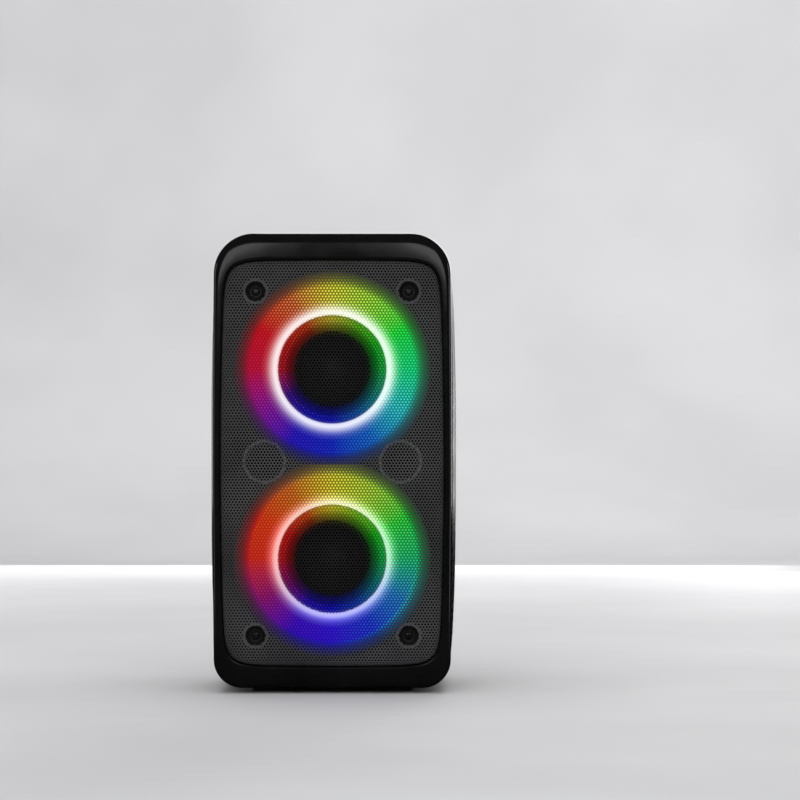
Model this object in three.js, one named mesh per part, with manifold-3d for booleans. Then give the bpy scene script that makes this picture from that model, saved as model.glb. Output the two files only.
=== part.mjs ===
// Portable party speaker: a tall box with two lit drivers behind a perforated
// grille, dimpled side cheeks, and a rear frame whose top bar is the carry handle.
// Millimetres. +Z is up, the front faces -Y, X runs across. z = 0 is the floor.
import * as THREE from 'three';
import { mergeVertices } from 'three/addons/utils/BufferGeometryUtils.js';
import Module from 'manifold-3d';

const wasm = await Module();
wasm.setup();

// ---------------------------------------------------------------- dimensions
const GAP = 0.3;                    // clearance between touching pieces

const HEIGHT = 310;                 // floor to the top of the bezel
const BASE_Z = 3.5;                 // underside of the cabinet, above the feet
const HALF_DEPTH = 70;              // front and back faces are at -70 and +70
const SHELL_HALF_W = 80;            // cabinet and bezel, before the cheeks
const CHEEK_HALF_W = 84.4;          // widest point, across the cheeks
const TOP_R = 27;                   // corner radii of the front outline
const BOTTOM_R = 19;

const BEZEL_BACK_Y = -50;
const BEZEL_FACE_T = 4;
const BEZEL_WALL = 3;
const BEZEL_ROUND = 5;
const OPENING = {
  halfEnd: 74.2, halfMid: 75.9, bottom: 17.8, top: 292.5, crown: 0.3, flat: 35, sideBottom: 55, sideTop: 255,
};
const OPENING_TENSION = 0.92;       // how far the corners hold on to the straight runs

const GRILLE_FACE_Y = -68.4;
const GRILLE_T = 1.2;
const GRILLE_ROLL = 3.6;            // depth and width of the rolled edge
const GRILLE_FLANGE = 2.2;
const WELL_X = 51.5;
const WELL_Z = [39, 270.8];
const WELL_R = 6.7;
const WELL_DEPTH = 3.4;
const GRILLE_SCREW_R = 2.7;
const SHANK_R = 1.3;
const SCREW_HEAD_T = 1.6;

const BAFFLE_Y = -58;               // front face of the baffle
const BAFFLE_T = 5;
const DRIVER_Z = { upper: 218.4, lower: 90.7 };
const LIGHT_IN_R = 36.3;            // lit ring round each driver
const LIGHT_OUT_R = 56.5;
const PORT_X = 46;
const PORT_Z = 156;
const PORT_FLARE_R = 15;
const PORT_R = 10;

const BEND_Y = 40;                  // where the sides start to slope inwards
const SHELL_BACK_Y = 54;
const BACK_HALF_W = 66.9;
const BACK_TOP_Z = 306;
const TOP_SLOPE_Y = 38;             // the top is level as far back as this
const PANEL_SEAT_Y = 50;
const SHELL_WALL = 3;
const CHEEK_BOTTOM = 22;
const CHEEK_TOP = 287;
const CHEEK_WALL = 2.2;
const CHEEK_END = 8;                // solid stretch at each end
// Half width of the cheeks at each height, as seen from the front.
const CHEEK_EDGE = [
  [22, 80.3], [32, 81.6], [50, 82.7], [80, 83.8], [120, 84.3],
  [190, 84.4], [245, 83.4], [268, 82.4], [280, 81.1], [287, 80.2],
];
// How far the cheek's crown falls off at each y.
const CHEEK_CROWN = [
  [-49.7, 3.9], [-46, 2.8], [-40, 1.8], [-30, 0.8], [-18, 0.2], [-8, 0],
  [4, 0], [16, 0.5], [26, 1.2], [33, 2], [36.5, 3],
];
const SEAT_HALF_W = 77.5;
const SEAT_BEND_Y = 14;
const SEAT_BACK_HALF_W = 57.9;

const DIMPLE_R = 20.6;
const DIMPLE_Z = [40.8, 93.6, 146.4, 199.2, 250.4];
const DIMPLE_X = 77.5;
const DIMPLE_Y = 43.1;
const DIMPLE_TILT = Math.PI / 4;
const BOWL_SHIFT = 9;               // the inner bowl's centre, forward along the slope
const BOWL_TILT = 0.87;
const BOWL_SPHERE_R = 24.6;
const BOWL_DEPTH = 8.6;

const FRAME_HALF_W = 66.9;
const FRAME_IN_HALF_W = 57.7;
const FRAME_BOTTOM = 5;
const FRAME_IN_BOTTOM = 25;
const FRAME_IN_TOP = 285;
const FRAME_R = 18;
const FRAME_IN_R = 12;
const BAR_FRONT_Y = 54.3;

const POCKET_HALF_W = 45;
const POCKET_BOTTOM = 253.8;
const CUP_TOP = 301;
const CUP_BACK_Y = 29;
const CUP_WALL = 2;
const CUP_PLATE_HALF_W = 36;
const CUP_PLATE_Y = 35;
const SLOT_COUNT = 8;
const SLOT_PITCH = 8.5;

const PANEL_Y = 61;                 // flanks of the rear panel
const PANEL_RAISED_Y = 64;
const PANEL_RAISED_HALF_W = 47.6;
const PANEL_BOTTOM = 31;
const PANEL_CHAMFER_TOP = 44;

const IO_Z = 150.6;                 // centre of the connector panel
const IO_HALF_W = 19.1;
const IO_HALF_H = 41.8;
const IO_FACE_Y = 63.2;
const IO_T = 3.2;
const IO_BOARD_Y = 44;
const POWER = { x: 3.1, z: -20.7, r: 3.4 };
const MODE = { x: -0.6, z: 24.4, r: 2.5 };
const AUX = { x: -7.1, z: 12.3, r: 1.8, ring: 3 };
const USB_A = { x: 0.7, z: -2.4, w: 5.9, h: 13.7 };
const CARD = { x: -5.6, z: -2.4, w: 1.5, h: 16 };
const USB_C = { x: -5.9, z: -20.7, w: 3.4, h: 9.2 };
const CHARGE = { x: -5.2, z: -29, r: 0.9 };
const IO_SCREWS = [[1.1, 34.3], [0.9, -33.7], [14.1, 0.3]];
const IO_SCREW_SINK = 1.4;
const BUTTON_TRAVEL = 0.8;

const AMP = { halfW: 40, bottom: 52, top: 108, y: 28, t: 1.6 };

const TOP_PANEL = { halfW: 42, front: -36, back: 20, r: 8, t: 1.8, seat: 2.1 };
const KEY_R = 6;
const KEY_PITCH = 16;
const KEY_Y = -8;
const KEY_NAMES = ['previous_key', 'volume_down_key', 'play_key', 'volume_up_key', 'next_key'];

const FOOT = { x: 41, w: 27, d: 18, frontY: -37, backY: 38, h: 3.2 };

// ---------------------------------------------------------------- materials
const material = (color, roughness, metalness = 0) =>
  new THREE.MeshStandardMaterial({ color, roughness, metalness });

const GLOSS_BLACK = material(0x0b0b0c, 0.25);
const SATIN_BLACK = material(0x121213, 0.45);
const GRILLE_BLACK = material(0x1a1a1b, 0.4, 0.8);
const MATT_BLACK = material(0x161616, 0.8);
const RUBBER = material(0x141414, 0.9);
const STEEL = material(0x9a9a9c, 0.35, 1);
const DARK_STEEL = material(0x3a3a3c, 0.4, 1);
const FERRITE = material(0x2a2a2b, 0.6);
const PAPER = material(0x101011, 0.7);
const COPPER = material(0xb06a35, 0.35, 1);
const LINEN = material(0xb89a55, 0.9);
const DIFFUSER = material(0xf2f2f2, 0.4);
const BOARD = material(0x0e4a2a, 0.6);
const WRAP = material(0x2f5fae, 0.45);
const BUTTON_GREY = material(0x6b6b6d, 0.5);
const LENS = material(0xe8e8e8, 0.2);

// ---------------------------------------------------------------- solids
function solid(geometry) {
  const bare = geometry.index ? geometry.toNonIndexed() : geometry.clone();
  bare.deleteAttribute('normal');
  bare.deleteAttribute('uv');
  const merged = mergeVertices(bare, 1e-4);
  return new wasm.Manifold(new wasm.Mesh({
    numProp: 3,
    vertProperties: new Float32Array(merged.attributes.position.array),
    triVerts: new Uint32Array(merged.index.array),
  }));
}

function surface(body) {
  const result = body.getMesh();
  const geometry = new THREE.BufferGeometry();
  geometry.setAttribute('position', new THREE.BufferAttribute(result.vertProperties, 3));
  geometry.setIndex(new THREE.BufferAttribute(result.triVerts, 1));
  geometry.computeVertexNormals();
  return geometry;
}

const cut = (body, ...tools) => tools.reduce((rest, tool) => rest.subtract(tool), body);
const join = (body, ...others) => others.reduce((sum, other) => sum.add(other), body);
const mirrored = (body) => body.mirror([1, 0, 0]);
const onBothSides = (body) => join(body, mirrored(body));

const group = new THREE.Group();

function add(name, body, look) {
  const mesh = new THREE.Mesh(surface(body), look);
  mesh.name = name;
  group.add(mesh);
}

// A block given by its lowest and highest corners.
function box(low, high) {
  const size = high.map((value, i) => value - low[i]);
  const geometry = new THREE.BoxGeometry(...size);
  geometry.translate(...low.map((value, i) => value + size[i] / 2));
  return solid(geometry);
}

// An outline in X and Z, extruded from y0 back to y1.
function prismY(shape, y0, y1, segments = 4, options = {}) {
  const geometry = new THREE.ExtrudeGeometry(shape, {
    depth: y1 - y0, bevelEnabled: false, curveSegments: segments, ...options,
  });
  geometry.rotateX(Math.PI / 2);
  geometry.translate(0, y1, 0);
  return geometry;
}

const plateY = (shape, y0, y1, segments) => solid(prismY(shape, y0, y1, segments));

// An outline in X and Y, extruded from z0 up to z1.
function plateZ(shape, z0, z1, segments = 4) {
  const geometry = new THREE.ExtrudeGeometry(shape, {
    depth: z1 - z0, bevelEnabled: false, curveSegments: segments,
  });
  geometry.translate(0, 0, z0);
  return solid(geometry);
}

// A rod along Y.
function rodY(x, z, r, y0, y1, segments = 12) {
  const geometry = new THREE.CylinderGeometry(r, r, y1 - y0, segments);
  geometry.translate(x, (y0 + y1) / 2, z);
  return solid(geometry);
}

// A rod along Z.
function rodZ(x, y, r, z0, z1, segments = 12) {
  const geometry = new THREE.CylinderGeometry(r, r, z1 - z0, segments);
  geometry.rotateX(Math.PI / 2);
  geometry.translate(x, y, (z0 + z1) / 2);
  return solid(geometry);
}

// A turned piece about an axis along Y: profile points are [radius, y].
function turnedY(profile, x, z, segments = 16) {
  const points = profile.map(([r, y]) => new THREE.Vector2(r, y));
  const outward = THREE.ShapeUtils.area(points) > 0 ? points : points.reverse();
  return solid(new THREE.LatheGeometry(outward, segments)).translate([x, 0, z]);
}

// The same for a ring, whose profile closes on itself.
const ringY = (profile, x, z, segments) => turnedY([...profile, profile[0]], x, z, segments);

// ---------------------------------------------------------------- outlines
// A tall outline with round corners and sides that bow out to halfMid.
function barrel({ halfEnd, halfMid, bottom, top, rTop, rBottom }) {
  const shape = new THREE.Shape();
  const bow = 2 * halfMid - halfEnd;
  const middle = (top + bottom) / 2;
  shape.moveTo(-halfEnd + rBottom, bottom);
  shape.lineTo(halfEnd - rBottom, bottom);
  shape.absarc(halfEnd - rBottom, bottom + rBottom, rBottom, -Math.PI / 2, 0);
  shape.quadraticCurveTo(bow, middle, halfEnd, top - rTop);
  shape.absarc(halfEnd - rTop, top - rTop, rTop, 0, Math.PI / 2);
  shape.lineTo(-halfEnd + rTop, top);
  shape.absarc(-halfEnd + rTop, top - rTop, rTop, Math.PI / 2, Math.PI);
  shape.quadraticCurveTo(-bow, middle, -halfEnd, bottom + rBottom);
  shape.absarc(-halfEnd + rBottom, bottom + rBottom, rBottom, Math.PI, 1.5 * Math.PI);
  return shape;
}

const cabinetOutline = (inset) => barrel({
  halfEnd: SHELL_HALF_W - inset,
  halfMid: SHELL_HALF_W + 0.8 - inset,
  bottom: BASE_Z + inset,
  top: HEIGHT - inset,
  rTop: TOP_R - inset,
  rBottom: BOTTOM_R - inset,
});

// The front opening: every side bows out a little, and the corners are long and soft.
function openingShape() {
  const { halfEnd, halfMid, bottom, top, crown, flat, sideBottom, sideTop } = OPENING;
  const shape = new THREE.Shape();
  const bow = 2 * halfMid - halfEnd;
  const middle = (sideTop + sideBottom) / 2;
  const lean = (bow - halfEnd) / (sideTop - middle);
  const across = (halfEnd - flat) * OPENING_TENSION;
  const low = bottom + crown;
  const high = top - crown;
  const up = (sideBottom - low) * OPENING_TENSION;
  const down = (high - sideTop) * OPENING_TENSION;
  shape.moveTo(-flat, low);
  shape.quadraticCurveTo(0, bottom - crown, flat, low);
  shape.bezierCurveTo(flat + across, low, halfEnd - lean * up, sideBottom - up, halfEnd, sideBottom);
  shape.quadraticCurveTo(bow, middle, halfEnd, sideTop);
  shape.bezierCurveTo(halfEnd - lean * down, sideTop + down, flat + across, high, flat, high);
  shape.quadraticCurveTo(0, top + crown, -flat, high);
  shape.bezierCurveTo(-flat - across, high, lean * down - halfEnd, sideTop + down, -halfEnd, sideTop);
  shape.quadraticCurveTo(-bow, middle, -halfEnd, sideBottom);
  shape.bezierCurveTo(lean * up - halfEnd, sideBottom - up, -flat - across, low, -flat, low);
  return shape;
}

const OPENING_POINTS = openingShape().getPoints(6).slice(0, -1);

// The opening's outline, drawn in by an inset.
function openingOutline(inset) {
  const count = OPENING_POINTS.length;
  return new THREE.Shape(OPENING_POINTS.map((point, i) => {
    const along = OPENING_POINTS[(i + 1) % count].clone().sub(OPENING_POINTS[(i + count - 1) % count]);
    along.normalize();
    return new THREE.Vector2(point.x - along.y * inset, point.y + along.x * inset);
  }));
}

function roundRect(left, right, bottom, top, r) {
  const shape = new THREE.Shape();
  shape.absarc(right - r, bottom + r, r, -Math.PI / 2, 0);
  shape.absarc(right - r, top - r, r, 0, Math.PI / 2);
  shape.absarc(left + r, top - r, r, Math.PI / 2, Math.PI);
  shape.absarc(left + r, bottom + r, r, Math.PI, 1.5 * Math.PI);
  return shape;
}

const polygon = (points) => new THREE.Shape(points.map(([x, y]) => new THREE.Vector2(x, y)));

// ---------------------------------------------------------------- front
function bezel() {
  const block = solid(prismY(cabinetOutline(0), BEZEL_ROUND - HALF_DEPTH, BEZEL_BACK_Y, 5, {
    bevelEnabled: true,
    bevelThickness: BEZEL_ROUND,
    bevelSize: BEZEL_ROUND,
    bevelOffset: -BEZEL_ROUND,
    bevelSegments: 2,
  }));
  const behind = box([-100, BEZEL_BACK_Y, -10], [100, 0, 320]);
  const hollow = plateY(cabinetOutline(BEZEL_WALL), BEZEL_FACE_T - HALF_DEPTH, 0);
  const opening = plateY(openingOutline(0), -80, 0);
  return cut(block, behind, hollow, opening);
}

function well(x, z) {
  const floorY = GRILLE_FACE_Y + WELL_DEPTH;
  return ringY([
    [SHANK_R + 0.4, floorY],
    [WELL_R - 2.6, floorY],
    [WELL_R, GRILLE_FACE_Y],
    [WELL_R + 0.6, GRILLE_FACE_Y],
    [WELL_R + 0.6, GRILLE_FACE_Y + GRILLE_T],
    [WELL_R - 1.6, floorY + GRILLE_T],
    [SHANK_R + 0.4, floorY + GRILLE_T],
  ], x, z, 12);
}

const wellPlaces = WELL_Z.flatMap((z) => [[-WELL_X, z], [WELL_X, z]]);

function grille() {
  const edge = GAP + 0.3;
  const roll = {
    bevelEnabled: true,
    bevelThickness: GRILLE_ROLL,
    bevelSize: GRILLE_ROLL,
    bevelOffset: -GRILLE_ROLL,
    bevelSegments: 1,
  };
  const backY = GRILLE_FACE_Y + GRILLE_ROLL + GRILLE_FLANGE;
  const outer = solid(prismY(openingOutline(edge), GRILLE_FACE_Y + GRILLE_ROLL, backY, 4, roll));
  const inner = solid(prismY(openingOutline(edge + GRILLE_T),
    GRILLE_FACE_Y + GRILLE_T + GRILLE_ROLL, backY + 9, 4, roll));
  const behind = box([-100, backY, -10], [100, 0, 320]);
  const holes = wellPlaces.map(([x, z]) => rodY(x, z, WELL_R + 0.3, -80, -50, 12));
  const wells = wellPlaces.map(([x, z]) => well(x, z));
  return join(cut(outer, inner, behind, ...holes), ...wells);
}

// A pan head screw whose head faces towards +Y (facing 1) or -Y (facing -1).
function screw(x, z, headY, headR, shankR, length, facing) {
  const underHead = headY - facing * SCREW_HEAD_T;
  return turnedY([
    [0, headY],
    [headR * 0.7, headY],
    [headR, headY - facing * 0.7],
    [headR, underHead],
    [shankR, underHead],
    [shankR, underHead - facing * length],
    [0, underHead - facing * length],
  ], x, z, 12);
}

function baffle() {
  const plate = plateY(cabinetOutline(BEZEL_WALL + GAP), BAFFLE_Y, BAFFLE_Y + BAFFLE_T);
  const drivers = Object.values(DRIVER_Z).map((z) => rodY(0, z, 34.2, -80, 0, 20));
  const ports = [-PORT_X, PORT_X].map((x) => rodY(x, PORT_Z, PORT_R + 2.1, -80, 0, 16));
  const bossY = GRILLE_FACE_Y + WELL_DEPTH + GRILLE_T + GAP;
  const bosses = wellPlaces.map(([x, z]) => rodY(x, z, 4, bossY, BAFFLE_Y + 1, 12));
  const shanks = wellPlaces.map(([x, z]) => rodY(x, z, SHANK_R + 0.4, -80, 0, 12));
  return cut(join(plate, ...bosses), ...drivers, ...ports, ...shanks);
}

function reflexPort(x) {
  return ringY([
    [PORT_R, BAFFLE_Y + 2],
    [PORT_FLARE_R - 2, BAFFLE_Y - 1.6],
    [PORT_FLARE_R, BAFFLE_Y - 1.9],
    [PORT_FLARE_R, BAFFLE_Y - GAP],
    [PORT_R + 1.6, BAFFLE_Y - GAP],
    [PORT_R + 1.6, BAFFLE_Y + 40],
    [PORT_R, BAFFLE_Y + 40],
  ], x, PORT_Z, 16);
}

// ---------------------------------------------------------------- drivers
// Depths are counted back from the baffle's front face.
const at = (profile) => profile.map(([r, depth]) => [r, BAFFLE_Y + depth]);

function basket(z) {
  const pressing = ringY(at([
    [32, -1.8], [43, -1.8], [43, -0.3], [33.6, -0.3], [33.6, 7], [25, 21], [25, 26.8],
    [11.4, 26.8], [11.4, 22.8], [22.6, 22.8], [22.6, 20], [32, 5.6],
  ]), 0, z);
  const windows = [1, -1].map((slant) => {
    const window = new THREE.BoxGeometry(26, 12.5, 120);
    window.rotateY(slant * Math.PI / 4);
    window.translate(0, BAFFLE_Y + 13.6, z);
    return solid(window);
  });
  return cut(pressing, ...windows);
}

const magnet = (z) => ringY(at([[12.5, 27.1], [27, 27.1], [27, 36], [12.5, 36]]), 0, z);

const yoke = (z) => turnedY(at([
  [0, 23], [8.4, 23], [8.4, 36.3], [26, 36.3], [26, 40.3], [0, 40.3],
]), 0, z);

const cone = (z) => turnedY(at([
  [0, 4.6], [6, 6], [11, 9.6], [25.4, -1.7], [27, -1.7], [27, -1], [10.4, 12.4],
  [8.8, 12.4], [8.8, 9.3], [5, 6.8], [0, 5.4],
]), 0, z);

const voiceCoil = (z) => ringY(at([[9, 12.7], [10.2, 12.7], [10.2, 29.5], [9, 29.5]]), 0, z, 16);

const surround = (z) => ringY(at([
  [25.6, -2.8], [27.4, -2.8], [30.6, -5.4], [33.8, -2.8], [35.8, -2.8],
  [35.8, -2.1], [33.6, -2.1], [30.6, -4.6], [27.6, -2.1], [25.6, -2.1],
]), 0, z);

const spider = (z) => ringY(at([
  [10.5, 15.4], [13.4, 14.5], [16.3, 16.3], [19.2, 14.5], [22.2, 15.4],
  [22.2, 16], [19.2, 15.1], [16.3, 16.9], [13.4, 15.1], [10.5, 16],
]), 0, z, 14);

const lightBoard = (z) => ringY(at([[44.5, -1.6], [53.5, -1.6], [53.5, -0.3], [44.5, -0.3]]), 0, z);

const diffuser = (z) => ringY(at([
  [LIGHT_IN_R, -2.2], [LIGHT_IN_R + 1.6, -6], [LIGHT_IN_R + 6, -7.4], [LIGHT_OUT_R - 5, -6.4],
  [LIGHT_OUT_R, -3], [LIGHT_OUT_R, -0.3], [LIGHT_OUT_R - 1.6, -0.3], [LIGHT_OUT_R - 1.6, -2.6],
  [LIGHT_OUT_R - 6, -4.8], [LIGHT_IN_R + 6.4, -5.8], [LIGHT_IN_R + 3.2, -4.6], [LIGHT_IN_R + 2, -2.2],
]), 0, z, 20);

// Sheathed pair from the amplifier to a driver's terminals.
function lead(x, z) {
  const route = new THREE.CatmullRomCurve3([
    new THREE.Vector3(x, AMP.y - 3, 100),
    new THREE.Vector3(x * 1.3, 10, (z + 100) / 2),
    new THREE.Vector3(x * 1.3, -14, z - 14),
    new THREE.Vector3(x, -28, z - 12),
  ]);
  const section = new THREE.Shape();
  section.absarc(0, 0, 1.4, 0, 2 * Math.PI);
  return solid(new THREE.ExtrudeGeometry(section, {
    steps: 12, curveSegments: 3, extrudePath: route, bevelEnabled: false,
  }));
}

// ---------------------------------------------------------------- cabinet
const halfWidthAt = (y, front, back) => (y <= BEND_Y ? front
  : front + (back - front) * (y - BEND_Y) / (SHELL_BACK_Y - BEND_Y));

// The cabinet's outer form: the front outline, drawn in and lowered towards the back.
function cabinetBlock() {
  const frontY = BEZEL_BACK_Y + GAP;
  const front = prismY(cabinetOutline(0), frontY, BEND_Y, 5);
  const back = prismY(cabinetOutline(0), BEND_Y, SHELL_BACK_Y, 5, { steps: 2 });
  const place = back.attributes.position;
  for (let i = 0; i < place.count; i += 1) {
    const y = place.getY(i);
    const share = halfWidthAt(y, 1, BACK_HALF_W / SHELL_HALF_W);
    const drop = Math.max(0, (y - TOP_SLOPE_Y) / (SHELL_BACK_Y - TOP_SLOPE_Y));
    const height = 1 - drop * (HEIGHT - BACK_TOP_Z) / (HEIGHT - BASE_Z);
    place.setXYZ(i, place.getX(i) * share, y, BASE_Z + (place.getZ(i) - BASE_Z) * height);
  }
  return join(solid(front), solid(back));
}

// Everything outside the right cheek's seat, seen from above.
function outsideSeat(offset) {
  const far = 120;
  return polygon([
    [SEAT_HALF_W + offset, -far],
    [far, -far],
    [far, far],
    [SEAT_BACK_HALF_W + offset, far],
    [SEAT_BACK_HALF_W + offset, PANEL_SEAT_Y],
    [SEAT_HALF_W + offset, SEAT_BEND_Y],
  ]);
}

// The slope that the dimples are sunk into, as x at a given y.
const slopeX = (y) => DIMPLE_X - (y - DIMPLE_Y) * Math.tan(DIMPLE_TILT);

// The right cheek seen from above, drawn in by an inset.
function cheekPlan(inset) {
  const shift = inset / Math.cos(DIMPLE_TILT);
  const cornerY = 40 - inset / 2;
  return polygon([
    [0, BEZEL_BACK_Y + GAP],
    ...CHEEK_CROWN.map(([y, fall]) => [CHEEK_HALF_W - fall - inset, y]),
    [slopeX(cornerY) - shift, cornerY],
    [slopeX(SHELL_BACK_Y - inset) - shift, SHELL_BACK_Y - inset],
    [0, SHELL_BACK_Y - inset],
  ]);
}

// A turned tool on the right slope: profile points are [radius, height above it].
function onSlope(z, profile, segments, forward = 0, tilt = DIMPLE_TILT) {
  const points = profile.map(([r, h]) => new THREE.Vector2(r, h));
  const geometry = new THREE.LatheGeometry(points, segments);
  geometry.rotateZ(tilt - Math.PI / 2);
  geometry.translate(
    DIMPLE_X + forward * Math.sin(DIMPLE_TILT), DIMPLE_Y - forward * Math.cos(DIMPLE_TILT), z);
  return solid(geometry);
}

// Part of a ball, sunk to a depth and closed above the slope.
function bowlProfile(radius, depth) {
  const steps = [0, 0.3, 0.55, 0.78, 0.98, 1.2];
  const arc = steps.map((a) => [radius * Math.sin(a), radius * (1 - Math.cos(a)) - depth]);
  return [...arc, [0, arc.at(-1)[1]]];
}

// A broad dished ring with a deeper bowl that breaks out through the side.
const dimple = (z) => join(
  onSlope(z, [
    [0, -3.4], [10, -3.1], [16, -2.3], [19.4, -1.3], [DIMPLE_R, 0], [DIMPLE_R + 14, 14], [0, 14],
  ], 16),
  onSlope(z, bowlProfile(BOWL_SPHERE_R, BOWL_DEPTH), 16, BOWL_SHIFT, BOWL_TILT),
);

const dimpleBacking = (z) => join(
  onSlope(z, [[0, -5.6], [16, -4.5], [DIMPLE_R + 2, -2.4], [DIMPLE_R + 2, 3], [0, 3]], 10),
  onSlope(z, bowlProfile(BOWL_SPHERE_R + 2.2, BOWL_DEPTH + 2.2), 10, BOWL_SHIFT, BOWL_TILT),
);

// The front outline of the two cheeks, drawn in by an inset.
function cheekEnvelope(inset) {
  const right = CHEEK_EDGE.map(([z, half]) => [half - inset, z]);
  const left = right.map(([x, z]) => [-x, z]).reverse();
  return plateY(polygon([...right, ...left]), -120, 120);
}

function rightCheek() {
  const block = plateZ(cheekPlan(0), CHEEK_BOTTOM, CHEEK_TOP).intersect(cheekEnvelope(0));
  const inner = plateZ(cheekPlan(CHEEK_WALL), CHEEK_BOTTOM + CHEEK_END, CHEEK_TOP - CHEEK_END)
    .intersect(cheekEnvelope(CHEEK_WALL));
  const rear = box([0, BEZEL_BACK_Y + CHEEK_END, 0], [120, 120, 320]);
  const outside = plateZ(outsideSeat(GAP), 0, 320);
  const hollow = cut(inner.intersect(rear), ...DIMPLE_Z.map(dimpleBacking));
  return cut(block.intersect(outside), hollow, ...DIMPLE_Z.map(dimple));
}

const seat = () => plateZ(outsideSeat(0), CHEEK_BOTTOM - GAP, CHEEK_TOP + GAP);

function cavity() {
  const right = polygon([
    [-1, -120],
    [SEAT_HALF_W - SHELL_WALL, -120],
    [SEAT_HALF_W - SHELL_WALL, SEAT_BEND_Y - 1],
    [SEAT_BACK_HALF_W - SHELL_WALL + 1.8, PANEL_SEAT_Y - SHELL_WALL],
    [-1, PANEL_SEAT_Y - SHELL_WALL],
  ]);
  return onBothSides(plateZ(right, 0, 320))
    .intersect(plateY(cabinetOutline(SHELL_WALL), -120, 120, 4));
}

// The groove that parts the frame's top right corner from the cabinet.
function cornerGroove() {
  const x = FRAME_HALF_W - FRAME_R;
  const z = BACK_TOP_Z - FRAME_R - 0.6;
  const ring = ringY([
    [FRAME_R + 0.2, 48], [FRAME_R + 3.4, 48], [FRAME_R + 3.4, 60], [FRAME_R + 0.2, 60],
  ], x, z, 24);
  return ring.intersect(box([x + 1, 40, z], [x + 40, 70, 320]));
}

function shell() {
  const panelSeat = plateY(roundRect(-FRAME_IN_HALF_W, FRAME_IN_HALF_W, FRAME_IN_BOTTOM,
    FRAME_IN_TOP, FRAME_IN_R), PANEL_SEAT_Y, 80);
  const rearWindow = plateY(roundRect(-53, 53, 30, 281, 6), 40, 80);
  const cupWindow = box([-POCKET_HALF_W - CUP_WALL - GAP, 0, POCKET_BOTTOM - CUP_WALL - GAP],
    [POCKET_HALF_W + CUP_WALL + GAP, 80, CUP_TOP + CUP_WALL + GAP]);
  const t = TOP_PANEL;
  const topSeat = plateZ(roundRect(-t.halfW, t.halfW, t.front, t.back, t.r), HEIGHT - t.seat, 330);
  const keyHoles = KEY_NAMES.map((_, i) => rodZ((i - 2) * KEY_PITCH, KEY_Y, KEY_R + 1.6, 290, 330));
  return cut(cabinetBlock(), cavity(), onBothSides(seat()), panelSeat, rearWindow, cupWindow,
    topSeat, onBothSides(cornerGroove()), ...keyHoles);
}

// ---------------------------------------------------------------- rear
function rearFrame() {
  const round = 4.4;
  const outline = roundRect(-FRAME_HALF_W, FRAME_HALF_W, FRAME_BOTTOM, BACK_TOP_Z - 0.6, FRAME_R);
  const block = solid(prismY(outline, BAR_FRONT_Y - 20, HALF_DEPTH - round, 5, {
    bevelEnabled: true,
    bevelThickness: round,
    bevelSize: round,
    bevelOffset: -round,
    bevelSegments: 2,
  }));
  const front = box([-100, 0, -10], [100, BAR_FRONT_Y, 320]);
  const inside = plateY(roundRect(-FRAME_IN_HALF_W, FRAME_IN_HALF_W, FRAME_IN_BOTTOM,
    FRAME_IN_TOP, FRAME_IN_R), 0, 100);
  const dimples = DIMPLE_Z.map((z) => onBothSides(dimple(z)));
  return cut(block, front, inside, ...dimples);
}

function stadium(halfW, halfH) {
  return roundRect(-halfW, halfW, IO_Z - halfH, IO_Z + halfH, halfW - 0.01);
}

const postPlaces = [-1, 1].flatMap((side) => [AMP.bottom + 6, AMP.top - 6]
  .map((z) => [side * (AMP.halfW - 6), z]));

function rearPanel() {
  const flat = plateY(roundRect(-FRAME_IN_HALF_W + GAP, FRAME_IN_HALF_W - GAP, PANEL_BOTTOM,
    FRAME_IN_TOP - GAP, FRAME_IN_R), PANEL_SEAT_Y + GAP, PANEL_Y);
  const bevel = PANEL_RAISED_Y - PANEL_Y;
  const raised = solid(prismY(roundRect(-PANEL_RAISED_HALF_W, PANEL_RAISED_HALF_W,
    PANEL_BOTTOM + 3, FRAME_IN_TOP - 3, 10), PANEL_Y - 4, PANEL_RAISED_Y - bevel, 3, {
    bevelEnabled: true, bevelThickness: bevel, bevelSize: bevel, bevelOffset: -bevel, bevelSegments: 1,
  }));
  const tail = box([-100, 0, 0], [100, PANEL_SEAT_Y + 4, 320]);
  const lip = new THREE.BoxGeometry(160, 30, 12);
  lip.rotateX(Math.atan2(8, PANEL_CHAMFER_TOP - PANEL_BOTTOM) + Math.PI / 2);
  lip.translate(0, PANEL_RAISED_Y + 1.6, PANEL_BOTTOM + 3);
  const pocket = plateY(roundRect(-POCKET_HALF_W, POCKET_HALF_W, POCKET_BOTTOM, 300, 5.5), 0, 90);
  const ioSeat = plateY(stadium(IO_HALF_W + GAP, IO_HALF_H + GAP), IO_FACE_Y - IO_T - GAP, 90);
  const ioWindow = box([-12, 0, IO_Z - 31], [9.6, 90, IO_Z + 30]);
  const bores = IO_SCREWS.map(([x, z]) => rodY(x, IO_Z + z, 1.3, 0, 90, 10));
  const posts = postPlaces.map(([x, z]) => rodY(x, z, 3, AMP.y + AMP.t + GAP, PANEL_SEAT_Y + 2, 10));
  return join(cut(join(flat, cut(raised, tail)), solid(lip), pocket, ioSeat, ioWindow, ...bores),
    ...posts);
}

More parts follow.
